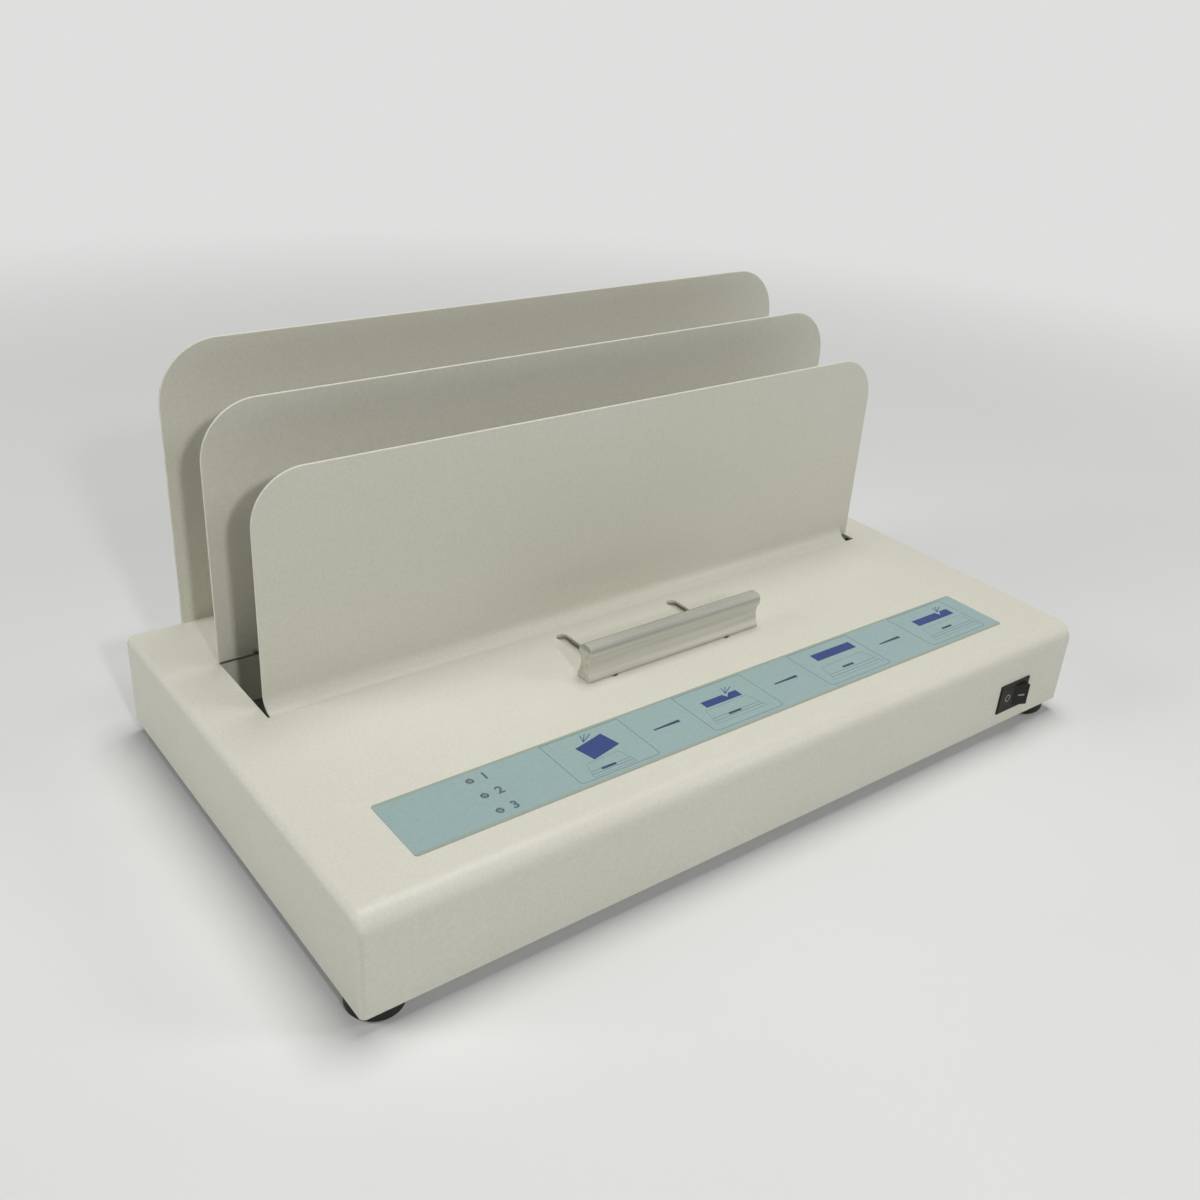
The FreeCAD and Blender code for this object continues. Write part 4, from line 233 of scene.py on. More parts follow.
def dust_group():
    """Dust: a soft patchy mask on faces that look upwards."""
    group = bpy.data.node_groups.get("Dust")
    if group:
        return group
    group, given, made = new_group(
        "Dust",
        (("Vector", VECTOR), ("Scale", NUMBER, 60.0), ("Amount", NUMBER, 0.3)),
        (("Mask", NUMBER),))
    face = add_node(group, "ShaderNodeNewGeometry")
    split = add_node(group, "ShaderNodeSeparateXYZ")
    upward = add_span(group, low=0.2, high=0.9)      # 0 is an upright face, 1 a level one
    noise = add_node(group, "ShaderNodeTexNoise")
    noise.inputs["Detail"].default_value = 4.0
    patches = add_span(group, low=0.35, high=0.75)
    both = add_node(group, "ShaderNodeMath", operation="MULTIPLY")
    amount = add_node(group, "ShaderNodeMath", operation="MULTIPLY")
    wire(group,
         (face, "Normal", split, "Vector"), (split, "Z", upward, "Value"),
         (given, "Vector", noise, "Vector"), (given, "Scale", noise, "Scale"),
         (noise, "Fac", patches, "Value"), (upward, "Result", both, 0),
         (patches, "Result", both, 1), (both, "Value", amount, 0),
         (given, "Amount", amount, 1), (amount, "Value", made, "Mask"))
    return group


# ---- building one finish -------------------------------------------------------------------------

EVEN = (1, 1, 1)        # the stretch of a grain that isn't drawn out


def rgba(values):
    """A colour with full alpha."""
    return (*values, 1.0)


class Finish:
    """One material under construction, read from object coordinates."""

    def __init__(self, name, metallic=0.0, **fixed):
        """Starts the material; fixed values name the shader's sockets, with _ for a space."""
        self.material = bpy.data.materials.new(name)
        self.material.use_nodes = True
        self.tree = self.material.node_tree
        self.tree.nodes.clear()
        self.output = self.tree.nodes.new("ShaderNodeOutputMaterial")
        self.shader = self.tree.nodes.new("ShaderNodeBsdfPrincipled")
        self.shader.inputs["Metallic"].default_value = metallic
        for socket, value in fixed.items():
            self.shader.inputs[socket.replace("_", " ")].default_value = value
        self.link(self.shader.outputs["BSDF"], self.output.inputs["Surface"])
        self.place = self.tree.nodes.new("ShaderNodeTexCoord").outputs["Object"]

    def link(self, source, target):
        """Joins an output to an input."""
        self.tree.links.new(source, target)

    def node(self, kind, **settings):
        """Adds a node and sets its properties."""
        return add_node(self.tree, kind, **settings)

    def group(self, group, **values):
        """Places a shared node group with its own values."""
        made = self.node("ShaderNodeGroup", node_tree=group)
        for socket, value in values.items():
            made.inputs[socket].default_value = value
        self.link(self.place, made.inputs["Vector"])
        return made

    def blend(self, mask, first, second):
        """Mixes two colours by a mask; each is an output or a plain colour."""
        mix = self.node("ShaderNodeMix", data_type="RGBA")
        for socket, value in (("Factor", mask), ("A", first), ("B", second)):
            if isinstance(value, bpy.types.NodeSocket):
                self.link(value, mix.inputs[socket])
            else:
                mix.inputs[socket].default_value = value
        return mix.outputs["Result"]

    def bump(self, height, distance, strength=1.0, below=None):
        """Adds a bump, on top of another one where it is given."""
        bump = self.node("ShaderNodeBump")
        bump.inputs["Distance"].default_value = distance
        bump.inputs["Strength"].default_value = strength
        self.link(height, bump.inputs["Height"])
        if below is not None:
            self.link(below, bump.inputs["Normal"])
        self.link(bump.outputs["Normal"], self.shader.inputs["Normal"])
        return bump.outputs["Normal"]

    def above(self, low, high):
        """A mask that rises from 0 to 1 between two heights."""
        split = self.node("ShaderNodeSeparateXYZ")
        rise = add_span(self.tree, low, high)
        self.link(self.place, split.inputs["Vector"])
        self.link(split.outputs["Z"], rise.inputs["Value"])
        return rise.outputs["Result"]

    def surface(self, colour_out, rough_out):
        """Feeds the shader's colour and roughness."""
        self.link(colour_out, self.shader.inputs["Base Color"])
        self.link(rough_out, self.shader.inputs["Roughness"])

    def wear_and_highlight(self, colour_out, rough_out, wear_and_highlight_tone, radius, breaks, amount, bare=0.40):
        """Lets another colour show at the edges, as rubbed edges and as a painted edge highlight;
        the lower bare is, the less it is broken.
        """
        mask = self.group(wear_and_highlight_group(), Radius=radius, Breaks=breaks, Amount=amount, Bare=bare)
        self.surface(self.blend(mask.outputs["Mask"], colour_out, rgba(wear_and_highlight_tone)), rough_out)

    def texture(self, scale, stretch=EVEN, detail=2.0):
        """The height of a grain that isn't the colour's own, for a bump."""
        return self.group(grain_group(), Scale=scale, Stretch=stretch,
                          Detail=detail).outputs["Height"]


def grain(finish, light, dark, smooth, rough, scale, stretch=EVEN, detail=2.0):
    """Places the grain group in a finish, between two colours and two roughnesses."""
    return finish.group(grain_group(), Light=rgba(light), Dark=rgba(dark), Smooth=smooth,
                        Rough=rough, Scale=scale, Stretch=stretch, Detail=detail)


def worn_skin(finish, light, dark, smooth, rough, scale, wear_and_highlight_tone, edge, breaks, amount,
              depth, strength=0.5, stretch=EVEN, detail=2.0):
    """The common finish: one grain for colour, gloss and bump, and another colour at the edges.

    Edge is the radius within which the edges take their other tone, breaks the scale at which
    that tone is broken up and amount its strength; depth and strength are the bump's.
    """
    skin = grain(finish, light, dark, smooth, rough, scale, stretch, detail)
    finish.wear_and_highlight(skin.outputs["Color"], skin.outputs["Roughness"], wear_and_highlight_tone, edge, breaks, amount)
    finish.bump(skin.outputs["Height"], depth, strength)


def give(material, *nodes):
    """Puts a finish on CAD nodes, in their own material slot."""
    for name in nodes:
        piece = frame["nodes"][name]
        if not piece.material_slots:
            raise RuntimeError(f"{name} has no material slot")
        for slot in piece.material_slots:
            slot.material = material


# ---- modelling steps ----------------------------------------------------------------------------

def nothing_selected():
    """Leaves edit mode and deselects everything."""
    if bpy.context.object and bpy.context.object.mode != "OBJECT":
        bpy.ops.object.mode_set(mode="OBJECT")
    bpy.ops.object.select_all(action="DESELECT")


def named(name):
    """The object just made, with its name and its place moved into its mesh, in edit mode."""
    piece = bpy.context.object
    piece.name = piece.data.name = name
    bpy.ops.object.transform_apply(location=True, rotation=True, scale=True)
    bpy.ops.object.mode_set(mode="EDIT")
    bpy.ops.mesh.select_all(action="SELECT")
    return piece


def flat(name, x, y, width, depth):
    """A flat sheet on the label's face, in edit mode."""
    nothing_selected()
    bpy.ops.mesh.primitive_plane_add(size=1, location=(x, y, LABEL_HIGH.z))
    bpy.context.object.scale = (width, depth, 1)
    return named(name)


def spin_flat(turn, x, y):
    """Turns what is selected about a point of the label's face."""
    bpy.ops.transform.rotate(value=turn, orient_axis="Z", center_override=(x, y, LABEL_HIGH.z))


def pick(piece, wanted):
    """Selects the vertices that pass, with the edges and faces between them."""
    bpy.ops.mesh.select_mode(type="VERT")
    bpy.ops.mesh.select_all(action="DESELECT")
    shape = bmesh.from_edit_mesh(piece.data)
    for vertex in shape.verts:
        vertex.select = wanted(vertex.co)
    shape.select_flush(True)
    bmesh.update_edit_mesh(piece.data)


def shift(piece, wanted, x=0.0, y=0.0):
    """Moves the vertices that pass."""
    pick(piece, wanted)
    bpy.ops.transform.translate(value=(x, y, 0))


def cut(x=None, y=None):
    """Cuts the whole mesh by an upright plane."""
    bpy.ops.mesh.select_all(action="SELECT")
    if x is not None:
        bpy.ops.mesh.bisect(plane_co=(x, 0, 0), plane_no=(1, 0, 0))
    else:
        bpy.ops.mesh.bisect(plane_co=(0, y, 0), plane_no=(0, 1, 0))


def outline(line, each=False):
    """Leaves only a line's width round the sheet, or round each of its faces."""
    bpy.ops.mesh.select_all(action="SELECT")
    bpy.ops.mesh.inset(thickness=line, use_individual=each)
    bpy.ops.mesh.delete(type="FACE")


def raise_ink(height, direction=(0, 0, 1)):
    """Gives the flat shape its thickness and closes the edit."""
    bpy.ops.mesh.select_all(action="SELECT")
    step = Vector(direction) * height
    bpy.ops.mesh.extrude_region_move(TRANSFORM_OT_translate={"value": tuple(step)})
    bpy.ops.mesh.select_all(action="SELECT")
    bpy.ops.mesh.normals_make_consistent(inside=False)
    bpy.ops.object.mode_set(mode="OBJECT")


def dress(piece, material, body):
    """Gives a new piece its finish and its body."""
    piece.data.materials.clear()
    piece.data.materials.append(material)
    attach(piece, body)


def copy_along(piece, name, step):
    """A copy of a piece with its own mesh, moved along the machine."""
    nothing_selected()
    piece.select_set(True)
    bpy.context.view_layer.objects.active = piece
    bpy.ops.object.duplicate(linked=False)
    bpy.ops.transform.translate(value=(step, 0, 0))
    twin = bpy.context.object
    bpy.ops.object.transform_apply(location=True, rotation=True, scale=True)
    twin.name = twin.data.name = name
    return twin


# ---- finishes ------------------------------------------------------------------------------------

class BINDER_OT_paint_housing(Operator):
    """Powder coat on the cover, the plates, the tray and the clamp's carriage, with a painted
    highlight along the edges and a painted shade along the tray's top edge
    """
    bl_idname = "binder.paint_housing"
    bl_label = "Paint Housing"

    def execute(self, context):
        tones = context.scene.binder_colours
        paint = Finish("housing_powder_coat")
        mottle = grain(paint, light=tones.paint, dark=tones.paint_shade, smooth=0.42, rough=0.52,
                       scale=9.0, detail=3.0)
        speck = grain(paint, light=(0.730, 0.720, 0.628), dark=(0.632, 0.622, 0.530), smooth=0.4,
                      rough=0.5, scale=850.0, detail=1.0)
        speck_share = 0.45
        ground = paint.blend(speck_share, mottle.outputs["Color"], speck.outputs["Color"])
        dust = paint.group(dust_group(), Scale=34.0, Amount=0.10)
        dusty = paint.blend(dust.outputs["Mask"], ground, rgba((0.60, 0.58, 0.50)))
        # Along every edge the paint turns lighter: partly rubbed paint, partly a painted highlight
        # of the lit edges.
        paint.wear_and_highlight(dusty, mottle.outputs["Roughness"], wear_and_highlight_tone=(0.80, 0.79, 0.70), radius=0.7 * MM,
                   breaks=120.0, amount=0.75, bare=0.10)
        wave = paint.bump(paint.texture(42.0), distance=0.06 * MM, strength=0.6)
        paint.bump(paint.texture(1100.0, detail=1.0), distance=0.018 * MM, strength=0.8,
                   below=wave)
        give(paint.material, "top_cover", "front_plate", "plate_rack", "carriage_plate")

        inner = Finish("tray_powder_coat")
        plain = grain(inner, light=tones.paint, dark=tones.paint_shade, smooth=0.44, rough=0.54,
                      scale=9.0, detail=3.0)
        soil = inner.group(dust_group(), Scale=60.0, Amount=0.35)
        soiled = inner.blend(soil.outputs["Mask"], plain.outputs["Color"],
                             rgba((0.50, 0.47, 0.39)))
        # Near its top edge the tray turns near-black: a painted shade for the dark gap under the
        # plate rack's bend.
        painted_rim_shade = inner.above(TRAY_RIM - 0.6 * MM, TRAY_RIM - 0.3 * MM)
        inner.surface(inner.blend(painted_rim_shade, soiled, rgba((0.13, 0.125, 0.105))),
                      plain.outputs["Roughness"])
        inner.bump(plain.outputs["Height"], distance=0.04 * MM, strength=0.6)
        give(inner.material, "heater_tray")
        return {"FINISHED"}


class BINDER_OT_finish_metals(Operator):
    """The handle's aluminium with a painted shade on its head, the hot plate's dark coat deepened
    by painted shade, zinc-plated steel and the pins' brass
    """
    bl_idname = "binder.finish_metals"
    bl_label = "Finish Metals"

    def execute(self, context):
        handle = Finish("handle_extruded_aluminium", metallic=0.30)
        lines = grain(handle, light=(0.67, 0.66, 0.58), dark=(0.53, 0.52, 0.455), smooth=0.54,
                      rough=0.68, scale=420.0, stretch=(0.02, 1.0, 1.0), detail=3.0)
        # Above the lip the handle takes a darker grain: a painted shade on the head's upper faces.
        head_shade_grain = grain(handle, light=(0.47, 0.465, 0.41), dark=(0.33, 0.325, 0.28), smooth=0.5,
                        rough=0.6, scale=210.0, stretch=(0.06, 1.0, 1.0), detail=4.0)
        head = handle.above(HANDLE_TOP - 3.6 * MM, HANDLE_TOP - 2.0 * MM)
        shaded_head = handle.blend(head, lines.outputs["Color"], head_shade_grain.outputs["Color"])
        handle.wear_and_highlight(shaded_head, lines.outputs["Roughness"], wear_and_highlight_tone=(0.74, 0.73, 0.67),
                    radius=0.6 * MM, breaks=300.0, amount=0.7)
        handle.bump(lines.outputs["Height"], distance=0.012 * MM, strength=0.8)
        give(handle.material, "pull_handle")

        turned = Finish("turned_aluminium", metallic=1.0)
        worn_skin(turned, light=(0.66, 0.66, 0.63), dark=(0.52, 0.52, 0.50), smooth=0.28,
                  rough=0.44, scale=900.0, stretch=(1, 1, 0.1), wear_and_highlight_tone=(0.80, 0.80, 0.78),
                  edge=0.2 * MM, breaks=600.0, amount=0.6, depth=0.01 * MM)
        give(turned.material, "jaw_rivets", "tray_spacers", "thermal_fuse")

        zinc = Finish("zinc_plated_steel", metallic=1.0)
        bloom = grain(zinc, light=(0.62, 0.63, 0.62), dark=(0.46, 0.47, 0.475), smooth=0.26,
                      rough=0.46, scale=46.0, detail=5.0)
        zinc.wear_and_highlight(bloom.outputs["Color"], bloom.outputs["Roughness"], wear_and_highlight_tone=(0.74, 0.74, 0.73),
                  radius=0.3 * MM, breaks=420.0, amount=0.5)
        zinc.bump(zinc.texture(900.0, (0.05, 1, 1)), distance=0.01 * MM, strength=0.5)
        give(zinc.material, "rack_studs", "rack_nuts", "base_plate", "screw_tabs", "base_screws",
             "foot_screws", "foot_nuts", "clamp_jaw", "handle_screws", "guide_rails",
             "tray_screws", "lamp_board_studs", "lamp_board_nuts", "board_screws")

        # The hot plate's near-black tone is partly its dark coat and partly a painted shade for the
        # trough's deep bottom.
        dark_coat_and_shade = Finish("non_stick_coat", metallic=0.5)
        worn_skin(dark_coat_and_shade, light=(0.075, 0.074, 0.070), dark=(0.048, 0.047, 0.044), smooth=0.38,
                  rough=0.60, scale=320.0, stretch=(0.4, 1, 1), detail=4.0,
                  wear_and_highlight_tone=(0.42, 0.42, 0.41), edge=0.3 * MM, breaks=500.0, amount=0.6,
                  depth=0.015 * MM, strength=0.7)
        give(dark_coat_and_shade.material, "heating_plate")

        brass = Finish("flashed_brass", metallic=1.0)
        worn_skin(brass, light=(0.75, 0.65, 0.35), dark=(0.60, 0.50, 0.26), smooth=0.22,
                  rough=0.38, scale=300.0, stretch=(1, 0.1, 1), detail=3.0,
                  wear_and_highlight_tone=(0.85, 0.76, 0.48), edge=0.2 * MM, breaks=700.0, amount=0.6,
                  depth=0.008 * MM)
        give(brass.material, "inlet_pins", "inlet_terminals")
        return {"FINISHED"}


class BINDER_OT_finish_mouldings(Operator):
    """Rubber feet, the switch and inlet mouldings, nylon bushes and spacers"""
    bl_idname = "binder.finish_mouldings"
    bl_label = "Finish Mouldings"

    def execute(self, context):
        rubber = Finish("foot_rubber", Specular_IOR_Level=0.30)
        skin = grain(rubber, light=(0.012, 0.012, 0.011), dark=(0.020, 0.020, 0.018),
                     smooth=0.60, rough=0.80, scale=240.0, detail=4.0)
        dust = rubber.group(dust_group(), Scale=160.0, Amount=0.4)
        dusty = rubber.blend(dust.outputs["Mask"], skin.outputs["Color"], rgba((0.12, 0.11, 0.1)))
        rubber.wear_and_highlight(dusty, skin.outputs["Roughness"], wear_and_highlight_tone=(0.060, 0.058, 0.054),
                    radius=0.5 * MM, breaks=500.0, amount=0.7)
        rubber.bump(skin.outputs["Height"], distance=0.04 * MM, strength=0.6)
        give(rubber.material, "rubber_feet")

        black = Finish("black_moulding", Specular_IOR_Level=0.20)
        worn_skin(black, light=(0.0100, 0.0102, 0.0080), dark=(0.0150, 0.0153, 0.0120),
                  smooth=0.40, rough=0.54, scale=800.0, wear_and_highlight_tone=(0.050, 0.049, 0.045),
                  edge=0.3 * MM, breaks=800.0, amount=0.6, depth=0.02 * MM)
        give(black.material, "switch_body", "switch_rocker", "power_inlet")

        nylon = Finish("natural_nylon", Subsurface_Weight=0.05, Subsurface_Radius=(MM, MM, MM))
        worn_skin(nylon, light=(0.74, 0.73, 0.69), dark=(0.66, 0.65, 0.60), smooth=0.38,
                  rough=0.55, scale=380.0, wear_and_highlight_tone=(0.82, 0.81, 0.78), edge=0.2 * MM, breaks=700.0,
                  amount=0.4, depth=0.02 * MM)
        give(nylon.material, "slot_bushes", "board_spacers", "lamp_connector")
        return {"FINISHED"}


# Inner works: finish, light and dark tone, tone of the edges, lowest and highest roughness,
# the grain's scale and stretch, and the nodes that get the finish.
WORKS = (
    ("board_laminate", (0.050, 0.215, 0.095), (0.035, 0.155, 0.070), (0.20, 0.34, 0.16),
     0.28, 0.42, 650.0, EVEN, ("lamp_board", "control_board")),
    ("dark_component_case", (0.055, 0.055, 0.060), (0.038, 0.038, 0.042), (0.12, 0.12, 0.12),
     0.38, 0.58, 700.0, EVEN, ("transformer", "buzzer", "capacitors", "controller_chip")),
    ("blue_component_case", (0.080, 0.200, 0.440), (0.060, 0.155, 0.350), (0.18, 0.32, 0.56),
     0.34, 0.50, 600.0, EVEN, ("relay", "terminal_block")),
    ("pressed_insulation", (0.80, 0.77, 0.71), (0.66, 0.62, 0.54), (0.86, 0.84, 0.80),
     0.70, 0.92, 260.0, (0.3, 1, 1), ("insulation_board", "heater_element", "thermostat")),
    ("brown_lead_sleeve", (0.250, 0.120, 0.060), (0.185, 0.085, 0.042), (0.34, 0.19, 0.11),
     0.40, 0.58, 900.0, EVEN, ("mains_lead", "neutral_lead", "live_lead", "heater_lead")),
    ("black_lead_sleeve", (0.040, 0.040, 0.045), (0.026, 0.026, 0.030), (0.09, 0.09, 0.09),
     0.40, 0.58, 900.0, EVEN, ("lamp_lead",)),
)


class BINDER_OT_finish_works(Operator):
    """Boards, components, insulation and leads inside the housing"""
    bl_idname = "binder.finish_works"
    bl_label = "Finish Inner Works"

    def execute(self, context):
        for name, light, dark, wear_and_highlight_tone, smooth, rough, scale, stretch, nodes in WORKS:
            finish = Finish(name)
            worn_skin(finish, light, dark, smooth, rough, scale, wear_and_highlight_tone, edge=0.2 * MM,
                      breaks=700.0, amount=0.5, depth=0.02 * MM, strength=0.6,
                      stretch=stretch, detail=3.0)
            give(finish.material, *nodes)
        return {"FINISHED"}


class BINDER_OT_finish_label(Operator):
    """The label's film with its two edge bands, and the lamps' lenses"""
    bl_idname = "binder.finish_label"
    bl_label = "Finish Label and Lamps"

    def execute(self, context):
        tones, sizes = context.scene.binder_colours, context.scene.binder_label
        film = Finish("label_polycarbonate", Specular_IOR_Level=0.42)
        light, shade = (tuple(share * value for value in tones.film) for share in (1.06, 0.93))
        broad = grain(film, light=tones.film, dark=shade, smooth=0.34, rough=0.44, scale=60.0,
                      detail=3.0)
        fleck = grain(film, light=light, dark=shade, smooth=0.34, rough=0.44, scale=900.0,
                      detail=1.0)
        fleck_share = 0.55
        ground = film.blend(fleck_share, broad.outputs["Color"], fleck.outputs["Color"])

        place = film.node("ShaderNodeSeparateXYZ")
        film.link(film.place, place.inputs["Vector"])
        across = film.node("ShaderNodeMath", operation="SUBTRACT")
        across.inputs[1].default_value = LABEL_MIDDLE
        away = film.node("ShaderNodeMath", operation="ABSOLUTE")
        band_edge = (LABEL_HIGH.y - LABEL_LOW.y) / 2 - sizes.border
        blur = 0.2 * MM
        band = add_span(film.tree, low=band_edge - blur, high=band_edge + blur)
        wire(film.tree, (place, "Y", across, 0), (across, "Value", away, 0),
             (away, "Value", band, "Value"))
        banded = film.blend(band.outputs["Result"], ground, rgba(tones.film_band))
        film.wear_and_highlight(banded, broad.outputs["Roughness"], wear_and_highlight_tone=(0.44, 0.52, 0.50),
                  radius=0.3 * MM, breaks=500.0, amount=0.5)
        film.bump(film.texture(900.0), distance=0.006 * MM, strength=0.5)
        give(film.material, "label_strip")

        lens = Finish("lamp_lens", Transmission_Weight=0.10)
        worn_skin(lens, light=(0.190, 0.250, 0.265), dark=(0.145, 0.195, 0.215), smooth=0.42,
                  rough=0.54, scale=900.0, wear_and_highlight_tone=(0.20, 0.27, 0.28), edge=0.2 * MM, breaks=900.0,
                  amount=0.4, depth=0.01 * MM, strength=0.3)
        give(lens.material, "indicator_lamps")
        return {"FINISHED"}


def ink(name, tone, wear_and_highlight_tone):
    """A screen-print ink: slightly uneven, dull, and thinner at its edges."""
    finish = Finish(name)
    thin = tuple(min(1.0, 1.25 * value + 0.01) for value in tone)
    worn_skin(finish, light=tone, dark=thin, smooth=0.48, rough=0.66, scale=1500.0, detail=3.0,
              wear_and_highlight_tone=wear_and_highlight_tone, edge=0.12 * MM, breaks=900.0, amount=0.4, depth=0.006 * MM,
              strength=0.6)
    return finish.material


# ---- the label's printing ------------------------------------------------------------------------

PANELS, LAMPS = 4, 3
PANELS_Y = LABEL_MIDDLE + 0.7 * MM      # the panels stand a little behind the film's middle
CORNER_STEPS, SMALL_STEPS = 5, 2        # a panel's corners, and those of bars and dashes

# The dash between two panels: how far below their middle it is, the share of its width that
# each side tapers by, and the share of the taper that rounds its corners.
DASH_DOWN, DASH_TAPER, DASH_ROUNDING = 0.2 * MM, 0.28, 0.6

# The small machine of each panel, in mm: how far aside, its width and depth, how far down it
# stands and how far down its heater's bar.
MACHINES = (
    (-2.2, 16.0, 8.5, -8.7, -9.9),
    (-1.4, 23.0, 9.8, -5.4, -7.0),
    (1.0, 26.5, 10.4, -6.0, -5.5),
    (2.0, 26.5, 9.8, -6.2, -5.5),
)
FRONT_LEFT, FRONT_RIGHT, BACK_RIGHT = -2.2 * MM, 2.6 * MM, 0.5 * MM     # its corners' shifts
FRONT_LINES = (0.30, 0.12)              # its front's lines, as shares of its depth
BAR_ASIDE, BAR_WIDTH, BAR_DEPTH, BAR_CORNER = -1.0 * MM, 6.8 * MM, 1.3 * MM, 0.2 * MM
BAR_INK = 1.5                           # its ink is this many times as thick as the others

# The tilted book of the first panel, and the other three in mm: panel, how far aside, width,
# depth, how far up, and where along it its back edge is notched, if at all.
TILT = radians(-13)
TILTED_ASIDE, TILTED_RISE, TILTED_WIDTH, TILTED_DEPTH = 0.8 * MM, 2.7 * MM, 15.0 * MM, 9.8 * MM
BOOKS = (
    (2, -0.9, 19.6, 4.3, 3.1, 0.70),
    (3, 3.0, 24.5, 5.3, 6.4, None),
    (4, 2.6, 25.0, 5.0, 4.2, 0.74),
)
NOTCH_HALF, NOTCH_LEAN, NOTCH_DEEP = 1.6 * MM, -0.6 * MM, 0.55     # the last: a depth's share
PAGES_FROM_NOTCH, PAGES_FROM_TILTED = 0.2 * MM, (-3.0 * MM, 5.2 * MM)
PAGE_LEANS = (-30, -50, -72)            # degrees
PAGE_LONG, PAGE_SHORTER, PAGE_LINE = 6.4 * MM, 0.9 * MM, 0.34 * MM

RING_STEPS = 40
NUMBER_ASIDE, NUMBER_DOWN = 5.0 * MM, 1.8 * MM      # from a lamp's middle


class BINDER_OT_print_panels(Operator):
    """Four outlined panels and the dashes between them"""
    bl_idname = "binder.print_panels"
    bl_label = "Print Panels"

    def execute(self, context):
        sizes, tones = context.scene.binder_label, context.scene.binder_colours
        line_ink = ink("line_ink", tones.ink_line, wear_and_highlight_tone=(0.27, 0.36, 0.36))
        dark_ink = ink("dark_ink", tones.ink_dark, wear_and_highlight_tone=(0.13, 0.15, 0.20))
        x, y = sizes.first_panel, PANELS_Y

        panel = flat("panel_frame_1", x, y, sizes.panel_width, sizes.panel_depth)
        pick(panel, lambda p: p.y < y)
        bpy.ops.mesh.bevel(offset=sizes.panel_corner, segments=CORNER_STEPS, affect="VERTICES")
        outline(sizes.frame_line)
        raise_ink(sizes.ink_height)

        dash_x, dash_y = x + sizes.panel_pitch / 2, y - DASH_DOWN
        dash = flat("step_dash_1", dash_x, dash_y, sizes.dash_length, sizes.dash_width)
        taper = sizes.dash_width * DASH_TAPER
        shift(dash, lambda p: p.x < dash_x and p.y > dash_y, y=-taper)
        shift(dash, lambda p: p.x < dash_x and p.y < dash_y, y=taper)
        bpy.ops.mesh.select_all(action="SELECT")
        bpy.ops.mesh.bevel(offset=taper * DASH_ROUNDING, segments=SMALL_STEPS,
                           affect="VERTICES")
        raise_ink(sizes.ink_height)

        panels = [panel] + [copy_along(panel, f"panel_frame_{count + 1}",
                                       sizes.panel_pitch * count) for count in range(1, PANELS)]
        dashes = [dash] + [copy_along(dash, f"step_dash_{count + 1}",
                                      sizes.panel_pitch * count) for count in range(1, PANELS - 1)]
        for piece in panels:
            dress(piece, line_ink, "housing")
        for piece in dashes:
            dress(piece, dark_ink, "housing")
        return {"FINISHED"}


class BINDER_OT_print_machines(Operator):
    """The small machine in each panel, with the bar of its heater"""
    bl_idname = "binder.print_machines"
    bl_label = "Print Machines"

    def execute(self, context):
        sizes = context.scene.binder_label
        line_ink, dark_ink = (bpy.data.materials[name] for name in ("line_ink", "dark_ink"))
        for count, row in enumerate(MACHINES):
            aside, width, depth, down, bar_down = (value * MM for value in row)
            x = sizes.first_panel + sizes.panel_pitch * count + aside
            y = PANELS_Y + down
            sketch = flat(f"machine_sketch_{count + 1}", x, y, width, depth)
            shift(sketch, lambda p: p.y < y and p.x < x, x=FRONT_LEFT)
            shift(sketch, lambda p: p.y < y and p.x > x, x=FRONT_RIGHT)
            shift(sketch, lambda p: p.y > y and p.x > x, y=BACK_RIGHT)
            for share in FRONT_LINES:
                cut(y=y - depth * share)
            outline(sizes.sketch_line / 2, each=True)
            raise_ink(sizes.ink_height)
            dress(sketch, line_ink, "housing")

            bar = flat(f"heater_bar_{count + 1}", x + BAR_ASIDE, PANELS_Y + bar_down,
                       BAR_WIDTH, BAR_DEPTH)
            bpy.ops.mesh.bevel(offset=BAR_CORNER, segments=SMALL_STEPS, affect="VERTICES")
            raise_ink(sizes.ink_height * BAR_INK)
            dress(bar, dark_ink, "housing")
        return {"FINISHED"}


class BINDER_OT_print_books(Operator):
    """A plain book shape in each panel: tilted, opened, closed and opened again"""
    bl_idname = "binder.print_books"
    bl_label = "Print Books"

    def execute(self, context):
        sizes, tones = context.scene.binder_label, context.scene.binder_colours
        blue = ink("blue_ink", tones.ink_blue, wear_and_highlight_tone=(0.12, 0.15, 0.30))

        tilted_x, tilted_y = sizes.first_panel + TILTED_ASIDE, PANELS_Y + TILTED_RISE
        book = flat("book_sketch_1", tilted_x, tilted_y, TILTED_WIDTH, TILTED_DEPTH)
        spin_flat(TILT, tilted_x, tilted_y)
        raise_ink(sizes.ink_height)
        books, page_starts = [book], []

        for number, *measures, notch in BOOKS:
            aside, width, depth, rise = (value * MM for value in measures)
            x = sizes.first_panel + sizes.panel_pitch * (number - 1) + aside
            y = PANELS_Y + rise
            book = flat(f"book_sketch_{number}", x, y, width, depth)
            if notch:
                notch_x = x - width / 2 + width * notch
                for step in (-NOTCH_HALF, 0.0, NOTCH_HALF):
                    cut(x=notch_x + step)
                shift(book, lambda p: p.y > y and abs(p.x - notch_x) < NOTCH_HALF / 4,
                      x=NOTCH_LEAN, y=-depth * NOTCH_DEEP)
                page_starts.append((number, notch_x + PAGES_FROM_NOTCH, y + depth / 2))
            raise_ink(sizes.ink_height)
            books.append(book)

        along, up = PAGES_FROM_TILTED
        page_starts.append((1, tilted_x + along, tilted_y + up))
        for number, x, y in page_starts:
            for count, lean in enumerate(PAGE_LEANS):
                reach = PAGE_LONG - PAGE_SHORTER * count
                line = flat(f"page_line_{number}_{count + 1}", x + reach / 2, y, reach,
                            PAGE_LINE)
                spin_flat(radians(lean), x, y)
                raise_ink(sizes.ink_height)
                books.append(line)
        for book in books:
            dress(book, blue, "housing")
        return {"FINISHED"}


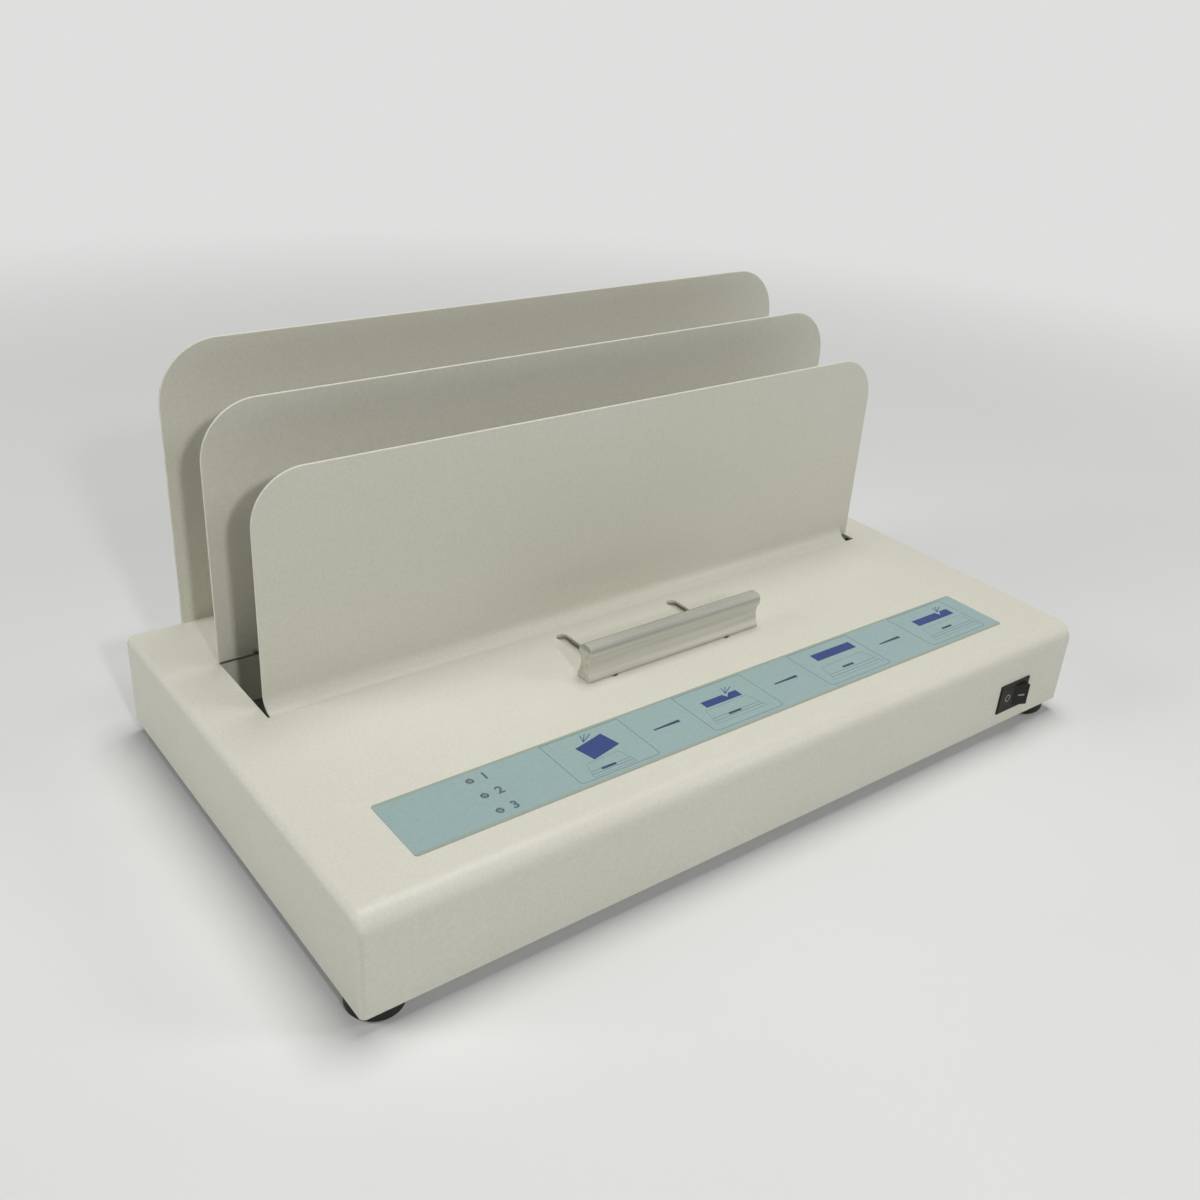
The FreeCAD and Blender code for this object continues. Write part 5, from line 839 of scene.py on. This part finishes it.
class BINDER_OT_print_lamp_marks(Operator):
    """A ring round each lamp and a plain number beside it"""
    bl_idname = "binder.print_lamp_marks"
    bl_label = "Print Lamp Marks"

    def execute(self, context):
        sizes, tones = context.scene.binder_label, context.scene.binder_colours
        number_ink = ink("grey_ink", tones.ink_grey, wear_and_highlight_tone=(0.16, 0.21, 0.24))
        ring_ink = ink("ring_ink", tones.ink_ring, wear_and_highlight_tone=(0.27, 0.36, 0.36))
        collar = (LAMPS_HIGH.x - LAMPS_LOW.x) / 2
        x = (LAMPS_HIGH.x + LAMPS_LOW.x) / 2
        back, front = LAMPS_HIGH.y - collar, LAMPS_LOW.y + collar
        for count in range(LAMPS):
            y = back + (front - back) * count / (LAMPS - 1)
            nothing_selected()
            bpy.ops.mesh.primitive_circle_add(vertices=RING_STEPS, radius=sizes.ring_radius,
                                              fill_type="NGON", location=(x, y, LABEL_HIGH.z))
            ring = named(f"lamp_ring_{count + 1}")
            outline(sizes.lamp_ring)
            raise_ink(sizes.ink_height)
            dress(ring, ring_ink, "housing")

            nothing_selected()
            bpy.ops.object.text_add(location=(x + NUMBER_ASIDE, y - NUMBER_DOWN, LABEL_HIGH.z))
            number = bpy.context.object
            number.data.body = str(count + 1)
            number.data.size = sizes.number_size
            number.data.offset = sizes.number_weight
            number.data.extrude = sizes.ink_height / 2
            bpy.ops.object.convert(target="MESH")
            number = named(f"lamp_number_{count + 1}")
            bpy.ops.transform.translate(value=(0, 0, sizes.ink_height / 2))
            bpy.ops.object.mode_set(mode="OBJECT")
            dress(number, number_ink, "housing")
        return {"FINISHED"}


# ---- the switch's marks --------------------------------------------------------------------------

ROCKER_TURN = radians(-11)      # how the rocker stands at rest
HALF_SLOPE = radians(11)        # how far each of its halves leans from its middle
CREASE_OUT = 2.0 * MM           # from its pin to the crease between the halves
MARKS_ALONG = {"switch_ring": -4.1 * MM, "switch_bar": 4.3 * MM}
MARK_RING_RADIUS, MARK_RING_LINE, MARK_RING_STEPS = 1.9 * MM, 0.5 * MM, 36
MARK_BAR_SIZE, MARK_BAR_CORNER, MARK_BAR_STEPS = (3.4 * MM, 0.8 * MM, 1), 0.15 * MM, 3
MARK_HEIGHT = 0.06 * MM


class BINDER_OT_mark_switch(Operator):
    """The ring and the bar on the rocker's two halves"""
    bl_idname = "binder.mark_switch"
    bl_label = "Mark Switch"

    def execute(self, context):
        pin = Vector(next(joint["pos_m"] for joint in frame["joints"]
                          if joint["name"] == "switch_rock"))
        mark = ink("switch_mark", context.scene.binder_colours.mark, wear_and_highlight_tone=(0.28, 0.28, 0.25))
        for name, along in MARKS_ALONG.items():
            turn = ROCKER_TURN + copysign(HALF_SLOPE, -along)
            local = Vector((along, -CREASE_OUT - abs(along) * tan(HALF_SLOPE), 0))
            place = pin + Matrix.Rotation(ROCKER_TURN, 3, "Z") @ local
            outward = Matrix.Rotation(turn, 3, "Z") @ Vector((0, -1, 0))
            upright = (radians(90), 0, turn)
            nothing_selected()
            if name == "switch_ring":
                bpy.ops.mesh.primitive_circle_add(vertices=MARK_RING_STEPS,
                                                  radius=MARK_RING_RADIUS, fill_type="NGON",
                                                  location=place, rotation=upright)
                piece = named(name)
                outline(MARK_RING_LINE)
            else:
                bpy.ops.mesh.primitive_plane_add(size=1, location=place, rotation=upright)
                bpy.context.object.scale = MARK_BAR_SIZE
                piece = named(name)
                bpy.ops.mesh.bevel(offset=MARK_BAR_CORNER, segments=MARK_BAR_STEPS,
                                   affect="VERTICES")
            raise_ink(MARK_HEIGHT, outward)
            dress(piece, mark, "rocker")
        return {"FINISHED"}


# ---- stage ---------------------------------------------------------------------------------------

# Where each light stands, and how wide the three smaller ones are. The panel has the rest.
LIT_SPOT = Vector((0, 0, 50 * MM))      # all lights are aimed at this point of the machine
LIGHTS = {"key_light": (0.22, 0.09, 1.50), "right_light": (1.00, -0.90, 0.85),
          "front_light": (-0.32, -1.12, 0.74), "back_light": (-1.15, 0.35, 0.65)}
RIGHT_SIZE, FRONT_SIZE, BACK_SIZE = 0.4, 0.10, 0.6

FLOOR_FADE, FLOOR_STEPS = (0.32, 1.15), 96      # the backdrop takes over between these radii
CAMERA_PLACE = (-0.3235, -0.3803, 0.3240)
CAMERA_AZIMUTH, CAMERA_HEIGHT, CAMERA_ROLL = radians(-38.8903), radians(27.6697), radians(3.9805)
SENSOR_WIDTH, CLIP_START, CLIP_END = 36.0, 0.01, 50.0      # the first in mm, the others in m


def seen_directly(tree):
    """One for rays from the camera, and for those mirrored or let through by the machine."""
    path = add_node(tree, "ShaderNodeLightPath")
    total = path.outputs["Is Camera Ray"]
    for name in ("Is Glossy Ray", "Is Transmission Ray"):
        either = add_node(tree, "ShaderNodeMath", operation="MAXIMUM")
        tree.links.new(total, either.inputs[0])
        tree.links.new(path.outputs[name], either.inputs[1])
        total = either.outputs["Value"]
    return total


def add_softbox(name, size, power):
    """A round soft light aimed at the machine."""
    nothing_selected()
    bpy.ops.object.light_add(type="AREA", location=LIGHTS[name])
    box = bpy.context.object
    box.name = box.data.name = name
    box.data.shape, box.data.size, box.data.energy = "DISK", size, power
    aim = LIT_SPOT - box.location
    box.rotation_euler = aim.to_track_quat("-Z", "Y").to_euler()


def add_camera(lens):
    """The camera, at its place, aimed by its azimuth and height and rolled about its own axis."""
    bpy.ops.object.camera_add(location=CAMERA_PLACE)
    camera = bpy.context.object
    camera.name = "studio_camera"
    level = cos(CAMERA_HEIGHT)
    back = Vector((sin(CAMERA_AZIMUTH) * level, -cos(CAMERA_AZIMUTH) * level,
                   sin(CAMERA_HEIGHT)))
    right = (-back).cross(Vector((0, 0, 1))).normalized()
    up = right.cross(-back)
    across = cos(CAMERA_ROLL) * right + sin(CAMERA_ROLL) * up
    above = -sin(CAMERA_ROLL) * right + cos(CAMERA_ROLL) * up
    camera.rotation_euler = Matrix((across, above, back)).transposed().to_euler()
    camera.data.lens, camera.data.sensor_width = lens, SENSOR_WIDTH
    camera.data.sensor_fit = "HORIZONTAL"
    camera.data.clip_start, camera.data.clip_end = CLIP_START, CLIP_END
    return camera


def floor_material(tone, backdrop):
    """A pale floor that fades into the backdrop for rays that see it directly."""
    ground = Finish("pale_floor")
    even = grain(ground, light=tone, dark=tuple(0.985 * value for value in tone), smooth=0.75,
                 rough=0.85, scale=6.0)
    ground.surface(even.outputs["Color"], even.outputs["Roughness"])
    away = ground.node("ShaderNodeVectorMath", operation="LENGTH")
    ground.link(ground.place, away.inputs[0])
    far = add_span(ground.tree, *FLOOR_FADE)
    far.interpolation_type = "SMOOTHSTEP"
    shown = ground.node("ShaderNodeMath", operation="MULTIPLY")
    ground.link(seen_directly(ground.tree), shown.inputs[1])
    glow = ground.node("ShaderNodeEmission")
    glow.inputs["Color"].default_value = rgba(backdrop)
    fade = ground.node("ShaderNodeMixShader")
    wire(ground.tree, (away, "Value", far, "Value"), (far, "Result", shown, 0),
         (shown, "Value", fade, "Fac"), (ground.shader, "BSDF", fade, 1),
         (glow, "Emission", fade, 2), (fade, "Shader", ground.output, "Surface"))
    return ground.material


def studio_world(backdrop, fill):
    """A backdrop for rays that see it directly, and an even light for all others."""
    world = bpy.data.worlds.new("studio")
    world.use_nodes = True
    tree = world.node_tree
    tree.nodes.clear()
    output = add_node(tree, "ShaderNodeOutputWorld")
    light, shown = (add_node(tree, "ShaderNodeBackground") for _ in range(2))
    light.inputs["Color"].default_value = (1.0, 1.0, 1.0, 1.0)
    light.inputs["Strength"].default_value = fill
    shown.inputs["Color"].default_value = rgba(backdrop)
    mix = add_node(tree, "ShaderNodeMixShader")
    tree.links.new(seen_directly(tree), mix.inputs["Fac"])
    wire(tree, (light, "Background", mix, 1), (shown, "Background", mix, 2),
         (mix, "Shader", output, "Surface"))
    return world


class BINDER_OT_set_stage(Operator):
    """A pale floor, soft studio light and the camera"""
    bl_idname = "binder.set_stage"
    bl_label = "Set Stage"

    def execute(self, context):
        setup = context.scene.binder_stage
        nothing_selected()
        bpy.ops.mesh.primitive_circle_add(vertices=FLOOR_STEPS, radius=setup.floor_radius,
                                          fill_type="NGON")
        floor = named("studio_floor")
        bpy.ops.object.mode_set(mode="OBJECT")
        floor.data.materials.append(floor_material(setup.floor, setup.backdrop))

        context.scene.world = studio_world(setup.backdrop, setup.fill)
        add_softbox("key_light", setup.key_size, setup.key_power)
        add_softbox("right_light", RIGHT_SIZE, setup.right_power)
        add_softbox("front_light", FRONT_SIZE, setup.front_power)
        add_softbox("back_light", BACK_SIZE, setup.back_power)
        context.scene.camera = add_camera(setup.lens)
        context.scene.view_settings.view_transform = "Standard"
        return {"FINISHED"}


# ---- panel and registration ----------------------------------------------------------------------

class BINDER_PT_finish(Panel):
    """Sizes, colours and steps of the binding machine's finish"""
    bl_idname = "BINDER_PT_finish"
    bl_label = "Binding Machine"
    bl_space_type = "VIEW_3D"
    bl_region_type = "UI"
    bl_category = "Binder"

    def draw(self, context):
        column = self.layout.column()
        for group in (context.scene.binder_colours, context.scene.binder_label,
                      context.scene.binder_stage):
            for name in group.__annotations__:
                column.prop(group, name)
            column.separator()
        for step in STEPS:
            column.operator(step.bl_idname)


GROUPS = {"binder_label": BinderLabel, "binder_colours": BinderColours,
          "binder_stage": BinderStage}
STEPS = (BINDER_OT_paint_housing, BINDER_OT_finish_metals, BINDER_OT_finish_mouldings,
         BINDER_OT_finish_works, BINDER_OT_finish_label, BINDER_OT_print_panels,
         BINDER_OT_print_machines, BINDER_OT_print_books, BINDER_OT_print_lamp_marks,
         BINDER_OT_mark_switch, BINDER_OT_set_stage)


def register():
    """Registers the classes and gives the scene its three groups of values."""
    for kind in (*GROUPS.values(), *STEPS, BINDER_PT_finish):
        bpy.utils.register_class(kind)
    for name, kind in GROUPS.items():
        setattr(bpy.types.Scene, name, PointerProperty(type=kind))


def unregister():
    """Takes back what register does."""
    for name in GROUPS:
        delattr(bpy.types.Scene, name)
    for kind in reversed((*GROUPS.values(), *STEPS, BINDER_PT_finish)):
        bpy.utils.unregister_class(kind)


def main():
    register()
    bpy.ops.binder.paint_housing()
    bpy.ops.binder.finish_metals()
    bpy.ops.binder.finish_mouldings()
    bpy.ops.binder.finish_works()
    bpy.ops.binder.finish_label()
    bpy.ops.binder.print_panels()
    bpy.ops.binder.print_machines()
    bpy.ops.binder.print_books()
    bpy.ops.binder.print_lamp_marks()
    bpy.ops.binder.mark_switch()
    bpy.ops.binder.set_stage()
    bpy.context.view_layer.update()


if __name__ == "__main__":
    main()
